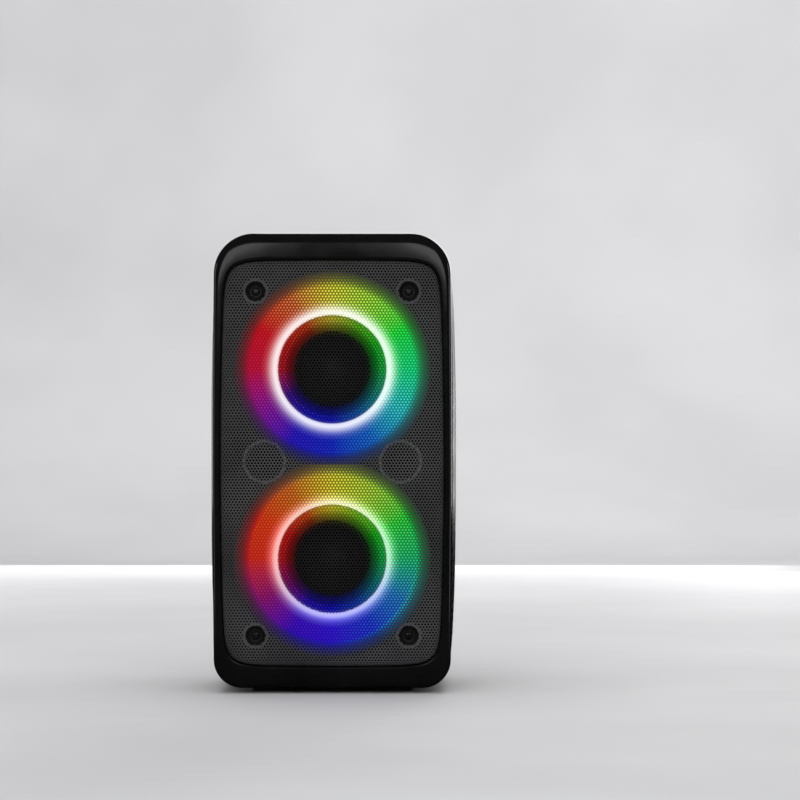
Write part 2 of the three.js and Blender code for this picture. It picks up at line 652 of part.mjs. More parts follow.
function handleCup() {
  const outer = box([-POCKET_HALF_W - CUP_WALL, CUP_BACK_Y - CUP_WALL, POCKET_BOTTOM - CUP_WALL],
    [POCKET_HALF_W + CUP_WALL, PANEL_SEAT_Y, CUP_TOP + CUP_WALL]);
  const inner = plateY(roundRect(-POCKET_HALF_W, POCKET_HALF_W, POCKET_BOTTOM, CUP_TOP, 5.5),
    CUP_BACK_Y, 90);
  const plate = plateY(roundRect(-CUP_PLATE_HALF_W, CUP_PLATE_HALF_W, 263.5, 291, 4),
    CUP_BACK_Y - 1, CUP_PLATE_Y);
  const slots = Array.from({ length: SLOT_COUNT }, (_, i) => {
    const x = (i - (SLOT_COUNT - 1) / 2) * SLOT_PITCH;
    return box([x - 0.85, CUP_PLATE_Y - 3, 281], [x + 0.85, 90, 284.5]);
  });
  return cut(join(cut(outer, inner), plate), ...slots);
}

// ---------------------------------------------------------------- connector panel
const ioBox = ({ x, z, w, h }, y0, y1, spare = 0) => box(
  [x - w / 2 - spare, y0, IO_Z + z - h / 2 - spare],
  [x + w / 2 + spare, y1, IO_Z + z + h / 2 + spare],
);
const ioRod = ({ x, z }, r, y0, y1, segments = 12) => rodY(x, IO_Z + z, r, y0, y1, segments);

function ioPanel() {
  const backY = IO_FACE_Y - IO_T;
  const plate = plateY(stadium(IO_HALF_W, IO_HALF_H), backY, IO_FACE_Y, 5);
  const ring = ioRod(POWER, 4.6, backY, IO_FACE_Y + 0.7, 14);
  const holes = [
    ioRod(POWER, POWER.r + 0.35, 0, 90, 14),
    ioRod(MODE, MODE.r + 0.35, 0, 90, 14),
    ioRod(AUX, AUX.ring + GAP, 0, 90, 12),
    ioBox(USB_A, 0, 90, GAP),
    ioBox(CARD, 0, 90, GAP),
    ioBox(USB_C, 0, 90, GAP),
    ioRod(CHARGE, CHARGE.r + 0.25, 0, 90, 8),
    ...IO_SCREWS.map(([x, z]) => rodY(x, IO_Z + z, 1.3, 0, 90, 8)),
    ...IO_SCREWS.map(([x, z]) => rodY(x, IO_Z + z, 2.4, IO_FACE_Y - IO_SCREW_SINK, 90, 10)),
  ];
  return cut(join(plate, ring), ...holes);
}

const JACK_BACK_Y = IO_BOARD_Y + 1.6 + GAP;

function auxJack() {
  const barrelPart = ioRod(AUX, AUX.ring, JACK_BACK_Y, IO_FACE_Y + 0.2);
  const body = box([AUX.x - 3.4, JACK_BACK_Y, IO_Z + AUX.z - 4], [AUX.x + 3.4, 58, IO_Z + AUX.z + 4]);
  return cut(join(barrelPart, body), ioRod(AUX, AUX.r, JACK_BACK_Y + 2, 90));
}

// A sheet metal receptacle round a contact tongue, open to the back of the speaker.
function receptacle(place, faceY, wall, tongue) {
  const shellBox = ioBox(place, JACK_BACK_Y, faceY);
  const bore = ioBox(place, JACK_BACK_Y + 2, 90, -wall);
  const blade = box(
    [place.x - tongue.w / 2, JACK_BACK_Y + 1, IO_Z + place.z - tongue.h / 2],
    [place.x + tongue.w / 2, faceY - 1.5, IO_Z + place.z + tongue.h / 2],
  );
  return join(cut(shellBox, bore), blade);
}

function pressButton(place, capY) {
  const cap = ioRod(place, place.r, 52, capY, 14);
  const flange = ioRod(place, place.r + 1.3, IO_FACE_Y - IO_T - 1.5, IO_FACE_Y - IO_T - GAP, 14);
  return join(cap, flange);
}

function ioBoard() {
  const board = box([-17, IO_BOARD_Y, IO_Z - 36], [17, IO_BOARD_Y + 1.6, IO_Z + 36]);
  const switches = [POWER, MODE].map((place) => join(
    box([place.x - 3, IO_BOARD_Y + 1, IO_Z + place.z - 3], [place.x + 3, 49, IO_Z + place.z + 3]),
    ioRod(place, 1.6, 48, 52 - GAP - BUTTON_TRAVEL - 0.2, 12),
  ));
  const chip = box([4, IO_BOARD_Y - 1.4, IO_Z - 6], [13, IO_BOARD_Y + 0.5, IO_Z + 3]);
  return join(board, ...switches, chip);
}

// ---------------------------------------------------------------- electronics
function ampBoard() {
  const board = box([-AMP.halfW, AMP.y, AMP.bottom], [AMP.halfW, AMP.y + AMP.t, AMP.top]);
  const capacitors = [-28, -14].map((x) => rodY(x, 92, 5, AMP.y - 16, AMP.y + 0.5, 14));
  const coils = [4, 18].map((x) => box([x, AMP.y - 6, 86], [x + 10, AMP.y + 0.5, 96]));
  const sink = Array.from({ length: 5 }, (_, i) =>
    box([-12 + i * 5, AMP.y - 14, 58], [-10.2 + i * 5, AMP.y + 0.5, 78]));
  const base = box([-13, AMP.y - 3, 58], [11, AMP.y + 0.5, 78]);
  return join(board, ...capacitors, ...coils, ...sink, base);
}

// Two cells side by side in one sleeve, lying on the cabinet's floor.
function batteryPack() {
  const r = 9.6;
  const z = BASE_Z + SHELL_WALL + GAP + r;
  const cell = (y) => {
    const rod = new THREE.CylinderGeometry(r, r, 70, 14);
    rod.rotateZ(Math.PI / 2);
    rod.translate(0, y, z);
    return solid(rod);
  };
  return join(cell(4), cell(22), box([-35, 4, z - r * 0.98], [35, 22, z + r * 0.98]));
}

// ---------------------------------------------------------------- top controls
function topPanel() {
  const t = TOP_PANEL;
  const z0 = HEIGHT - t.seat + GAP;
  const plate = plateZ(roundRect(-t.halfW + GAP, t.halfW - GAP, t.front + GAP, t.back - GAP,
    t.r - GAP), z0, z0 + t.t);
  return cut(plate, ...KEY_NAMES.map((_, i) => rodZ((i - 2) * KEY_PITCH, KEY_Y, KEY_R + 0.35, 0, 330, 14)));
}

const KEY_BOARD_Z = 296;

function topKey(i) {
  const x = (i - 2) * KEY_PITCH;
  const cap = rodZ(x, KEY_Y, KEY_R, 302, HEIGHT + 0.2, 14);
  const flange = rodZ(x, KEY_Y, KEY_R + 1.1, 304.6, HEIGHT - TOP_PANEL.seat - 0.2, 14);
  return join(cap, flange);
}

function keyBoard() {
  const board = box([-40, KEY_Y - 8, KEY_BOARD_Z], [40, KEY_Y + 8, KEY_BOARD_Z + 1.6]);
  const switches = KEY_NAMES.map((_, i) => join(
    box([(i - 2) * KEY_PITCH - 3, KEY_Y - 3, KEY_BOARD_Z + 1], [(i - 2) * KEY_PITCH + 3, KEY_Y + 3, 299.6]),
    rodZ((i - 2) * KEY_PITCH, KEY_Y, 1.6, 299, 302 - GAP - BUTTON_TRAVEL - 0.2, 12),
  ));
  const stands = [-1.5, 1.5].map((place) => rodZ(place * KEY_PITCH, KEY_Y + 6, 1.8, KEY_BOARD_Z + 1,
    HEIGHT - SHELL_WALL - GAP, 10));
  return join(board, ...switches, ...stands);
}

// ---------------------------------------------------------------- feet
function foot(x, y) {
  const half = FOOT.w / 2;
  const inner = 3;
  const side = Math.sign(x);
  const shape = polygon([
    [x - half + (side > 0 ? inner : 0), 0],
    [x + half - (side < 0 ? inner : 0), 0],
    [x + half, FOOT.h],
    [x - half, FOOT.h],
  ]);
  return plateY(shape, y - FOOT.d / 2, y + FOOT.d / 2);
}

// ---------------------------------------------------------------- assembly
add('front_bezel', bezel(), GLOSS_BLACK);
add('grille', grille(), GRILLE_BLACK);
wellPlaces.forEach(([x, z], i) => {
  const headY = GRILLE_FACE_Y + WELL_DEPTH - SCREW_HEAD_T - GAP;
  add(`grille_screw_${i + 1}`, screw(x, z, headY, GRILLE_SCREW_R, SHANK_R, 14, -1), DARK_STEEL);
});
add('front_baffle', baffle(), MATT_BLACK);
add('reflex_port_left', reflexPort(-PORT_X), SATIN_BLACK);
add('reflex_port_right', reflexPort(PORT_X), SATIN_BLACK);
for (const [name, z] of Object.entries(DRIVER_Z)) {
  add(`${name}_driver_basket`, basket(z), DARK_STEEL);
  add(`${name}_driver_magnet`, magnet(z), FERRITE);
  add(`${name}_driver_yoke`, yoke(z), STEEL);
  add(`${name}_driver_cone`, cone(z), PAPER);
  add(`${name}_voice_coil`, voiceCoil(z), COPPER);
  add(`${name}_surround`, surround(z), RUBBER);
  add(`${name}_spider`, spider(z), LINEN);
  add(`${name}_light_board`, lightBoard(z), BOARD);
  add(`${name}_light_diffuser`, diffuser(z), DIFFUSER);
}
add('upper_driver_lead', lead(34, DRIVER_Z.upper), RUBBER);
add('lower_driver_lead', lead(-34, DRIVER_Z.lower), RUBBER);
add('cabinet_shell', shell(), SATIN_BLACK);
add('left_side_cheek', mirrored(rightCheek()), GLOSS_BLACK);
add('right_side_cheek', rightCheek(), GLOSS_BLACK);
add('rear_frame', rearFrame(), GLOSS_BLACK);
add('rear_panel', rearPanel(), SATIN_BLACK);
add('handle_cup', handleCup(), SATIN_BLACK);
add('connector_panel', ioPanel(), SATIN_BLACK);
IO_SCREWS.forEach(([x, z], i) => {
  const headY = IO_FACE_Y - IO_SCREW_SINK + GAP + SCREW_HEAD_T;
  add(`panel_screw_${i + 1}`, screw(x, IO_Z + z, headY, 2, 1, 8, 1), DARK_STEEL);
});
add('power_button', pressButton(POWER, IO_FACE_Y + 1.6), BUTTON_GREY);
add('mode_button', pressButton(MODE, IO_FACE_Y + 1), SATIN_BLACK);
add('aux_jack', auxJack(), MATT_BLACK);
add('usb_a_port', receptacle(USB_A, IO_FACE_Y - 0.4, 0.5, { w: 1.9, h: 11 }), STEEL);
add('memory_card_slot', receptacle(CARD, IO_FACE_Y - 0.6, 0.35, { w: 0.3, h: 12 }), STEEL);
add('usb_c_port', receptacle(USB_C, IO_FACE_Y - 0.4, 0.4, { w: 0.7, h: 6.6 }), STEEL);
add('charge_lamp', ioRod(CHARGE, CHARGE.r, JACK_BACK_Y, IO_FACE_Y, 10), LENS);
add('connector_board', ioBoard(), BOARD);
add('amplifier_board', ampBoard(), BOARD);
add('battery_pack', batteryPack(), WRAP);
add('top_panel', topPanel(), SATIN_BLACK);
KEY_NAMES.forEach((name, i) => add(name, topKey(i), RUBBER));
add('key_board', keyBoard(), BOARD);
for (const [place, x, y] of [
  ['front_left', -FOOT.x, FOOT.frontY], ['front_right', FOOT.x, FOOT.frontY],
  ['rear_left', -FOOT.x, FOOT.backY], ['rear_right', FOOT.x, FOOT.backY],
]) {
  add(`${place}_foot`, foot(x, y), RUBBER);
}

export default group;
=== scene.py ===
"""Party speaker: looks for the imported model, in metres. The front faces -Y and z = 0 is the floor."""

import math

import bpy
import bmesh
import numpy as np
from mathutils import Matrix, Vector


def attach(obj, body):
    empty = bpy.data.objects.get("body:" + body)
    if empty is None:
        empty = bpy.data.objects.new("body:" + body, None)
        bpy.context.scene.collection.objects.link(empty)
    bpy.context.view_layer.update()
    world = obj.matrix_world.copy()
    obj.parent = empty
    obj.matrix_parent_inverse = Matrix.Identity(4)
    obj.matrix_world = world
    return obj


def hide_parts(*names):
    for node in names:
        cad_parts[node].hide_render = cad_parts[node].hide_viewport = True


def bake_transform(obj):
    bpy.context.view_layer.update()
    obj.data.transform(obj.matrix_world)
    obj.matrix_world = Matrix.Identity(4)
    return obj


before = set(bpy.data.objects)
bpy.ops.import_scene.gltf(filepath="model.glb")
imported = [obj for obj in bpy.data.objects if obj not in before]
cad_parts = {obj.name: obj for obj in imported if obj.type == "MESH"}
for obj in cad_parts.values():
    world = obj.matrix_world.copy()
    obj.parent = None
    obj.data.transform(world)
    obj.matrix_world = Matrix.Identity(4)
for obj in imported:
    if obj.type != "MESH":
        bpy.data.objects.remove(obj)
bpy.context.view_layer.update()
scene = bpy.context.scene

MM = 0.001
TAU = 2 * math.pi

# ---------------------------------------------------------------- dimensions, in millimetres
HEIGHT = 310.0
BASE_Z = 3.5
SHELL_HALF_W = 80.0
CHEEK_HALF_W = 84.4
TOP_R = 27.0
BOTTOM_R = 19.0
FRONT_Y = -70.0
BEZEL_BACK_Y = -50.0
OPENING_HALF_END = 74.2
OPENING_HALF_MID = 75.9
OPENING_BOTTOM = 17.8
OPENING_TOP = 292.5
OPENING_CROWN = 0.3
OPENING_FLAT = 35.0
OPENING_SIDE = (55.0, 255.0)
OPENING_TENSION = 0.92

GRILLE_Y = -68.4
GRILLE_T = 1.0
GRILLE_GAP = 0.6
ROLL_R = 3.4
PITCH = 2.16
HOLE_R = 0.76
WELL_X = 51.5
WELL_ZS = (39.0, 270.8)
WELLS = [(x, z) for z in WELL_ZS for x in (-WELL_X, WELL_X)]
WELL_R = 6.7
WELL_DEPTH = 3.4
SCREW_HEAD_T = 1.6

BAFFLE_Y = -58.0
DRIVERS = {"upper": 218.4, "lower": 90.7}
LIGHT_IN_R = 36.3
LIGHT_OUT_R = 56.5
GLOW_R = 66.5
RAMP_R = 70.0                        # the radius at which every ramp by radius ends
PORT_X = 46.0
PORT_Z = 156.0

BEND_Y = 40.0
SHELL_BACK_Y = 54.0
BACK_HALF_W = 66.9
BACK_TOP_Z = 306.0
TOP_SLOPE_Y = 38.0
PANEL_SEAT_Y = 50.0
SHELL_WALL = 3.0
CHEEK_BOTTOM = 22.0
CHEEK_TOP = 287.0
# (height, half width) of the cheeks as seen from the front
CHEEK_EDGE = ((22, 80.3), (32, 81.6), (50, 82.7), (80, 83.8), (120, 84.3),
              (190, 84.4), (245, 83.4), (268, 82.4), (280, 81.1), (287, 80.2))
# (y, how far the crown falls off there)
CHEEK_CROWN = ((-49.7, 3.9), (-46, 2.8), (-40, 1.8), (-30, 0.8), (-18, 0.2), (-8, 0),
               (4, 0), (16, 0.5), (26, 1.2), (33, 2.0), (36.5, 3.0), (54, 9.0))
SEAT_HALF_W = 77.5
SEAT_BEND_Y = 14.0
SEAT_BACK_HALF_W = 57.9
DIMPLE_R = 20.6
DIMPLE_ZS = (40.8, 93.6, 146.4, 199.2, 250.4)
DIMPLE_X = 77.5
DIMPLE_Y = 43.1
BOWL_SHIFT = 9.0
BOWL_TILT = 0.87
BOWL_SPHERE_R = 24.6
BOWL_DEPTH = 8.6

FRAME_HALF_W = 66.9
FRAME_IN_HALF_W = 57.7
FRAME_BOTTOM = 5.0
FRAME_IN_BOTTOM = 25.0
FRAME_IN_TOP = 285.0
FRAME_R = 18.0
FRAME_IN_R = 12.0
BAR_FRONT_Y = 54.3
BACK_Y = 70.0
POCKET_HALF_W = 45.0
POCKET_BOTTOM = 253.8
POCKET_R = 5.5
CUP_TOP = 301.0
CUP_BACK_Y = 29.0
CUP_WALL = 2.0
PANEL_Y = 61.0
RAISED_Y = 64.0
RAISED_HALF_W = 49.0
RAISED_STEP = 2.6
PANEL_BOTTOM = 31.0
CHAMFER_TOP = 44.0
IO_Z = 150.6
IO_HALF_W = 19.1
IO_HALF_H = 41.8
IO_FACE_Y = 63.2
IO_T = 3.2
IO_SINK = 1.4
GAP = 0.3
ABOVE = 330.0                        # cutting tools reach this far up
BEHIND = 90.0                        # and this far back
CUP_PLATE_HALF_W = 36.0
CUP_PLATE_Y = 35.0
CUP_PLATE_BOTTOM = 263.5
CUP_PLATE_TOP = 291.0
SLOT_HALF_W = 0.85
SLOT_BOTTOM = 281.0
SLOT_TOP = 284.6
SLOT_COUNT = 8
SLOT_PITCH = 8.5
JACK_BACK_Y = 46.0
AUX_BARREL_R = 3.0
BUTTON_BACK_Y = 52.0
# x, z from the panel's centre, then width and height or radius
POWER = (3.1, -20.7, 3.4)
MODE = (-0.6, 24.4, 2.5)
AUX = (-7.1, 12.3, 1.8)
USB_A = (0.7, -2.4, 5.9, 13.7)
CARD = (-5.6, -2.4, 1.5, 16.0)
USB_C = (-5.9, -20.7, 3.4, 9.2)
CHARGE = (-5.2, -29.0, 0.9)
IO_SCREWS = ((1.1, 34.3), (0.9, -33.7), (14.1, 0.3))
AMP_HALF_W = 40.0
AMP_BOTTOM = 52.0
AMP_TOP = 108.0
AMP_Y = 28.0

KEYPAD_HALF_W = 42.0
KEYPAD_FRONT = -36.0
KEYPAD_BACK = 20.0
KEYPAD_SEAT = 2.1
KEY_R = 6.0
KEY_Y = -8.0
KEY_FLANGE_Z = 304.6
KEY_STEM_Z = 302.0
KEY_NAMES = ("previous_key", "volume_down_key", "play_key", "volume_up_key", "next_key")
KEY_XS = (-32.0, -16.0, 0.0, 16.0, 32.0)
FOOT_X = 41.0
FOOT_W = 27.0
FOOT_D = 18.0
FOOT_H = 3.2
FOOT_FRONT_Y = -37.0
FOOT_BACK_Y = 38.0


# ---------------------------------------------------------------- mesh helpers
def into_scene(name, data):
    obj = bpy.data.objects.new(name, data)
    scene.collection.objects.link(obj)
    return obj


def new_object(name, points, faces):
    mesh = bpy.data.meshes.new(name)
    mesh.from_pydata((np.asarray(points, float) * MM).tolist(), [], [list(map(int, f)) for f in faces])
    mesh.validate()
    return into_scene(name, mesh)


def face_out(obj):
    """Turns the faces of a closed mesh outwards."""
    bm = bmesh.new()
    bm.from_mesh(obj.data)
    bmesh.ops.recalc_face_normals(bm, faces=bm.faces)
    bm.to_mesh(obj.data)
    bm.free()
    return obj


def settle(obj):
    """Applies the modifiers."""
    bpy.context.view_layer.update()
    depsgraph = bpy.context.evaluated_depsgraph_get()
    mesh = bpy.data.meshes.new_from_object(obj.evaluated_get(depsgraph))
    obj.modifiers.clear()
    obj.data = mesh
    return obj


def smooth(obj, degrees=35):
    obj.data.shade_smooth()
    obj.data.set_sharp_from_angle(angle=math.radians(degrees))
    return obj


def bevel(obj, width, segments=3):
    modifier = obj.modifiers.new("edges", "BEVEL")
    modifier.width = width * MM
    modifier.segments = segments
    modifier.limit_method = "ANGLE"
    modifier.angle_limit = math.radians(35)
    modifier.harden_normals = True
    return settle(obj)


def combine(obj, tools, operation="DIFFERENCE"):
    """Cuts or joins with each tool in turn, and removes the tools."""
    for tool in tools:
        modifier = obj.modifiers.new("cut", "BOOLEAN")
        modifier.object = tool
        modifier.operation = operation
        modifier.solver = "EXACT"
        settle(obj)
        bpy.data.objects.remove(tool)
    return obj


def bands(count, rings, closed):
    """Quads between rings of count points each."""
    faces = []
    for k in range(rings if closed else rings - 1):
        a, b = k * count, ((k + 1) % rings) * count
        for i in range(count):
            j = (i + 1) % count
            faces.append((a + i, a + j, b + j, b + i))
    return faces


def skin(name, rings, closed=False):
    """A tube of rings; open ends are capped."""
    count = len(rings[0])
    faces = bands(count, len(rings), closed)
    if not closed:
        faces.append(tuple(range(count)))
        faces.append(tuple(range((len(rings) - 1) * count, len(rings) * count)))
    return face_out(new_object(name, np.concatenate(rings), faces))


def turned(name, profile, x, z, segments=96):
    """A body turned about an axis along Y. Profile points are (radius, y); it closes on itself."""
    angles = np.linspace(0, TAU, segments, endpoint=False)
    rings = []
    for radius, y in profile:
        radius = max(radius, 1e-4)
        ring = np.stack([x + radius * np.sin(angles), np.full(segments, y), z + radius * np.cos(angles)], 1)
        rings.append(ring)
    return skin(name, rings, closed=profile[0][0] > 0.01 or profile[-1][0] > 0.01)


def rounded(profile, radius=0.5, steps=4):
    """Rounds the corners of a closed profile of (radius, y) points."""
    points = [Vector(p) for p in profile]
    result = []
    for i, here in enumerate(points):
        before, after = points[i - 1], points[(i + 1) % len(points)]
        to_before, to_after = before - here, after - here
        reach = min(radius, to_before.length * 0.45, to_after.length * 0.45)
        if here.x < 0.01 or reach < 0.02:
            result.append(tuple(here))
            continue
        start = here + to_before.normalized() * reach
        end = here + to_after.normalized() * reach
        for k in range(steps + 1):
            t = k / steps
            result.append(tuple(start * (1 - t) ** 2 + here * 2 * t * (1 - t) + end * t ** 2))
    return result


def in_xz(outline, y):
    return np.stack([outline[:, 0], np.full(len(outline), float(y)), outline[:, 1]], 1)


def in_xy(outline, z):
    return np.stack([outline[:, 0], outline[:, 1], np.full(len(outline), float(z))], 1)


def prism_y(name, outline, y0, y1):
    return skin(name, [in_xz(outline, y0), in_xz(outline, y1)])


def prism_z(name, outline, z0, z1):
    return skin(name, [in_xy(outline, z0), in_xy(outline, z1)])


def block(name, low, high):
    (x0, y0, z0), (x1, y1, z1) = low, high
    return prism_z(name, np.array([(x0, y0), (x1, y0), (x1, y1), (x0, y1)], float), z0, z1)


def rod_y(name, x, z, radius, y0, y1, segments=48):
    return prism_y(name, circle(x, z, radius, segments), y0, y1)


# ---------------------------------------------------------------- outlines
def circle(x, z, radius, segments=48):
    angles = np.linspace(0, TAU, segments, endpoint=False)
    return np.stack([x + radius * np.cos(angles), z + radius * np.sin(angles)], 1)


def arc(cx, cz, radius, start, end, count):
    angles = np.radians(np.linspace(start, end, count))
    return np.stack([cx + radius * np.cos(angles), cz + radius * np.sin(angles)], 1)


def bowed(start, bow, end, count):
    """Points between start and end on a curve pulled towards bow; the ends themselves are left out."""
    t = np.linspace(0, 1, count + 2)[1:-1, None]
    start, bow, end = (np.array(p, float) for p in (start, bow, end))
    return start * (1 - t) ** 2 + bow * 2 * t * (1 - t) + end * t ** 2


CORNER_POINTS = 26
SIDE_POINTS = 30
FLAT_POINTS = 16


def barrel(half_end, half_mid, bottom, top, r_top, r_bottom):
    """A tall outline with round corners and sides that bow out, always with the same number of points."""
    bow = 2 * half_mid - half_end
    middle = (top + bottom) / 2
    low, high = bottom + r_bottom, top - r_top
    inner_low, inner_high = half_end - r_bottom, half_end - r_top
    return np.concatenate([
        bowed((-inner_low, bottom), (0, bottom), (inner_low, bottom), FLAT_POINTS),
        arc(inner_low, low, r_bottom, -90, 0, CORNER_POINTS),
        bowed((half_end, low), (bow, middle), (half_end, high), SIDE_POINTS),
        arc(inner_high, high, r_top, 0, 90, CORNER_POINTS),
        bowed((inner_high, top), (0, top), (-inner_high, top), FLAT_POINTS),
        arc(-inner_high, high, r_top, 90, 180, CORNER_POINTS),
        bowed((-half_end, high), (-bow, middle), (-half_end, low), SIDE_POINTS),
        arc(-inner_low, low, r_bottom, 180, 270, CORNER_POINTS),
    ])


def cabinet_outline(inset):
    """The cabinet from the front, smaller by inset all round."""
    return barrel(SHELL_HALF_W - inset, SHELL_HALF_W + 0.8 - inset, BASE_Z + inset, HEIGHT - inset,
                  TOP_R - inset, BOTTOM_R - inset)


def soft_corner(a, b, c, d):
    """A cubic curve from a to d, pulled towards b and c."""
    t = np.linspace(0, 1, CORNER_POINTS)[:, None]
    a, b, c, d = (np.array(p, float) for p in (a, b, c, d))
    return a * (1 - t) ** 3 + b * 3 * t * (1 - t) ** 2 + c * 3 * t ** 2 * (1 - t) + d * t ** 3


def opening_base():
    """The front opening: every side bows out a little, and the corners are long and soft."""
    half, flat = OPENING_HALF_END, OPENING_FLAT
    side_low, side_high = OPENING_SIDE
    bow = 2 * OPENING_HALF_MID - half
    middle = (side_low + side_high) / 2
    lean = (bow - half) / (side_high - middle)
    low, high = OPENING_BOTTOM + OPENING_CROWN, OPENING_TOP - OPENING_CROWN
    across = (half - flat) * OPENING_TENSION
    up, down = (side_low - low) * OPENING_TENSION, (high - side_high) * OPENING_TENSION
    right = [
        soft_corner((flat, low), (flat + across, low), (half - lean * up, side_low - up), (half, side_low)),
        bowed((half, side_low), (bow, middle), (half, side_high), SIDE_POINTS),
        soft_corner((half, side_high), (half - lean * down, side_high + down), (flat + across, high),
                    (flat, high)),
    ]
    left = [part[::-1] * (-1, 1) for part in reversed(right)]
    bottom = bowed((-flat, low), (0, low - 2 * OPENING_CROWN), (flat, low), FLAT_POINTS)
    top = bowed((flat, high), (0, high + 2 * OPENING_CROWN), (-flat, high), FLAT_POINTS)
    return np.concatenate([bottom, *right, top, *left])


def grown(outline, by):
    """An outline pushed outwards by a distance, or by one distance for each point."""
    along = np.roll(outline, -1, 0) - np.roll(outline, 1, 0)
    normal = np.stack([along[:, 1], -along[:, 0]], 1)
    return outline + np.reshape(by, (-1, 1)) * normal / np.linalg.norm(normal, axis=1)[:, None]


OPENING = opening_base()


def opening_outline(inset):
    return grown(OPENING, -inset)


def round_rect(left, right, bottom, top, r_top, r_bottom=None):
    """Like barrel, with straight sides and its own centre line."""
    r_bottom = r_top if r_bottom is None else r_bottom
    half, middle = (right - left) / 2, (left + right) / 2
    outline = barrel(half, half, bottom, top, r_top, r_bottom)
    return outline + np.array([middle, 0.0])


# ---------------------------------------------------------------- material helpers
class Nodes:
    """Short calls for building one material: a Principled shader and the nodes that feed it."""

    def __init__(self, name):
        self.made = bpy.data.materials.new(name)
        self.made.use_nodes = True
        self.tree = self.made.node_tree
        self.tree.nodes.clear()
        self.shader = self.add("ShaderNodeBsdfPrincipled")

    def add(self, kind, **settings):
        node = self.tree.nodes.new(kind)
        for key, value in settings.items():
            setattr(node, key, value)
        return node

    def put(self, socket, value):
        """Gives a socket a number or a colour, or links it to another node's output."""
        if isinstance(value, (int, float)):
            socket.default_value = value
        elif isinstance(value, tuple):
            socket.default_value = (*value, 1.0)
        else:
            self.tree.links.new(value, socket)

    def feed(self, **values):
        """Puts values on the shader's own sockets: base_color stands for Base Color, and so on."""
        for name, value in values.items():
            self.put(self.shader.inputs[SOCKETS[name]], value)

    def math(self, operation, *values):
        node = self.add("ShaderNodeMath", operation=operation)
        for socket, value in zip(node.inputs, values):
            self.put(socket, value)
        return node.outputs[0]

    def position(self):
        """The point on the object, as its X, Y and Z."""
        split = self.add("ShaderNodeSeparateXYZ")
        self.put(split.inputs[0], self.add("ShaderNodeTexCoord").outputs["Object"])
        return split.outputs

    def reach(self, across, up):
        """The distance from an axis, as a share of RAMP_R."""
        square = self.math("ADD", self.math("MULTIPLY", across, across), self.math("MULTIPLY", up, up))
        return self.math("DIVIDE", self.math("SQRT", square), RAMP_R * MM)

    def noise(self, scale, detail=3.0, roughness=0.5):
        node = self.add("ShaderNodeTexNoise")
        place = self.add("ShaderNodeTexCoord").outputs["Object"]
        for name, value in (("Scale", scale), ("Detail", detail), ("Roughness", roughness),
                            ("Vector", place)):
            self.put(node.inputs[name], value)
        return node.outputs["Fac"]

    def spread(self, value, low, high):
        """Maps a noise value, which lies mostly between 0.35 and 0.65, to the range low..high."""
        node = self.add("ShaderNodeMapRange")
        for name, number in (("Value", value), ("From Min", 0.35), ("From Max", 0.65), ("To Min", low),
                             ("To Max", high)):
            self.put(node.inputs[name], number)
        return node.outputs["Result"]

    def ramp(self, value, stops):
        node = self.add("ShaderNodeValToRGB")
        elements = node.color_ramp.elements
        while len(elements) < len(stops):
            elements.new(0.5)
        for element, (place, colour) in zip(elements, stops):
            element.position = place
            element.color = (*colour, 1.0)
        self.put(node.inputs["Fac"], value)
        return node.outputs["Color"]

    def mix(self, factor, a, b):
        node = self.add("ShaderNodeMix", data_type="RGBA")
        for index, value in ((0, factor), (6, a), (7, b)):
            self.put(node.inputs[index], value)
        return node.outputs[2]

    def bump(self, height, strength, distance):
        node = self.add("ShaderNodeBump")
        for name, value in (("Strength", strength), ("Distance", distance), ("Height", height)):
            self.put(node.inputs[name], value)
        return node.outputs["Normal"]

    def finish(self):
        output = self.add("ShaderNodeOutputMaterial")
        self.put(output.inputs["Surface"], self.shader.outputs[0])
        return self.made


SOCKETS = {
    "base_color": "Base Color", "roughness": "Roughness", "metallic": "Metallic", "coat": "Coat Weight",
    "coat_roughness": "Coat Roughness", "specular": "Specular IOR Level", "normal": "Normal",
    "emission": "Emission Color", "strength": "Emission Strength",
}


def plain_finish(name, colour, roughness, grain=0.0, grain_scale=2500.0, metallic=0.0, variation=0.25,
                 wear=0.08, coat=0.0, specular=0.5):
    """A moulded, painted or bare surface: colour and gloss vary a little, over a fine bumped grain."""
    n = Nodes(name)
    n.feed(metallic=metallic, coat=coat, coat_roughness=0.08, specular=specular)
    dark, light = (tuple(c * by for c in colour) for by in (1 - variation, 1 + variation))
    cloud = n.spread(n.noise(14.0, 4.0, 0.6), 0.0, 1.0)
    smudge = n.spread(n.noise(55.0, 6.0, 0.65), roughness - wear, roughness + wear)
    n.feed(base_color=n.mix(cloud, dark, light), roughness=smudge)
    if grain:
        n.feed(normal=n.bump(n.noise(grain_scale, 2.0, 0.6), grain, 0.00012))
    return n.finish()


# ---------------------------------------------------------------- the light rings
# Clockwise from the top, as seen from the front, one colour every twelfth of a turn: yellow, lime,
# green, emerald, cyan, azure, blue, indigo, violet, crimson, red, orange. The lower ring's cycle runs
# a little ahead of the upper one's on the left.
def wheel(*colours):
    return tuple((k / 12, colour) for k, colour in enumerate((*colours, colours[0])))


HUES = {
    "upper": wheel((0.15, 0.145, 0), (0.075, 0.2, 0), (0.002, 0.345, 0.01), (0, 0.335, 0.08),
                   (0, 0.2, 0.2), (0, 0.05, 0.29), (0.001, 0.006, 0.33), (0.008, 0.001, 0.32),
                   (0.13, 0, 0.14), (0.34, 0.001, 0.022), (0.39, 0.002, 0.006), (0.19, 0.028, 0)),
    "lower": wheel((0.16, 0.145, 0), (0.12, 0.175, 0), (0.004, 0.242, 0.002), (0.001, 0.19, 0.05),
                   (0.001, 0.063, 0.202), (0.003, 0.006, 0.314), (0.018, 0.001, 0.43), (0.022, 0, 0.33),
                   (0.15, 0.001, 0.063), (0.4, 0.011, 0.003), (0.42, 0.017, 0.001), (0.22, 0.056, 0)),
}
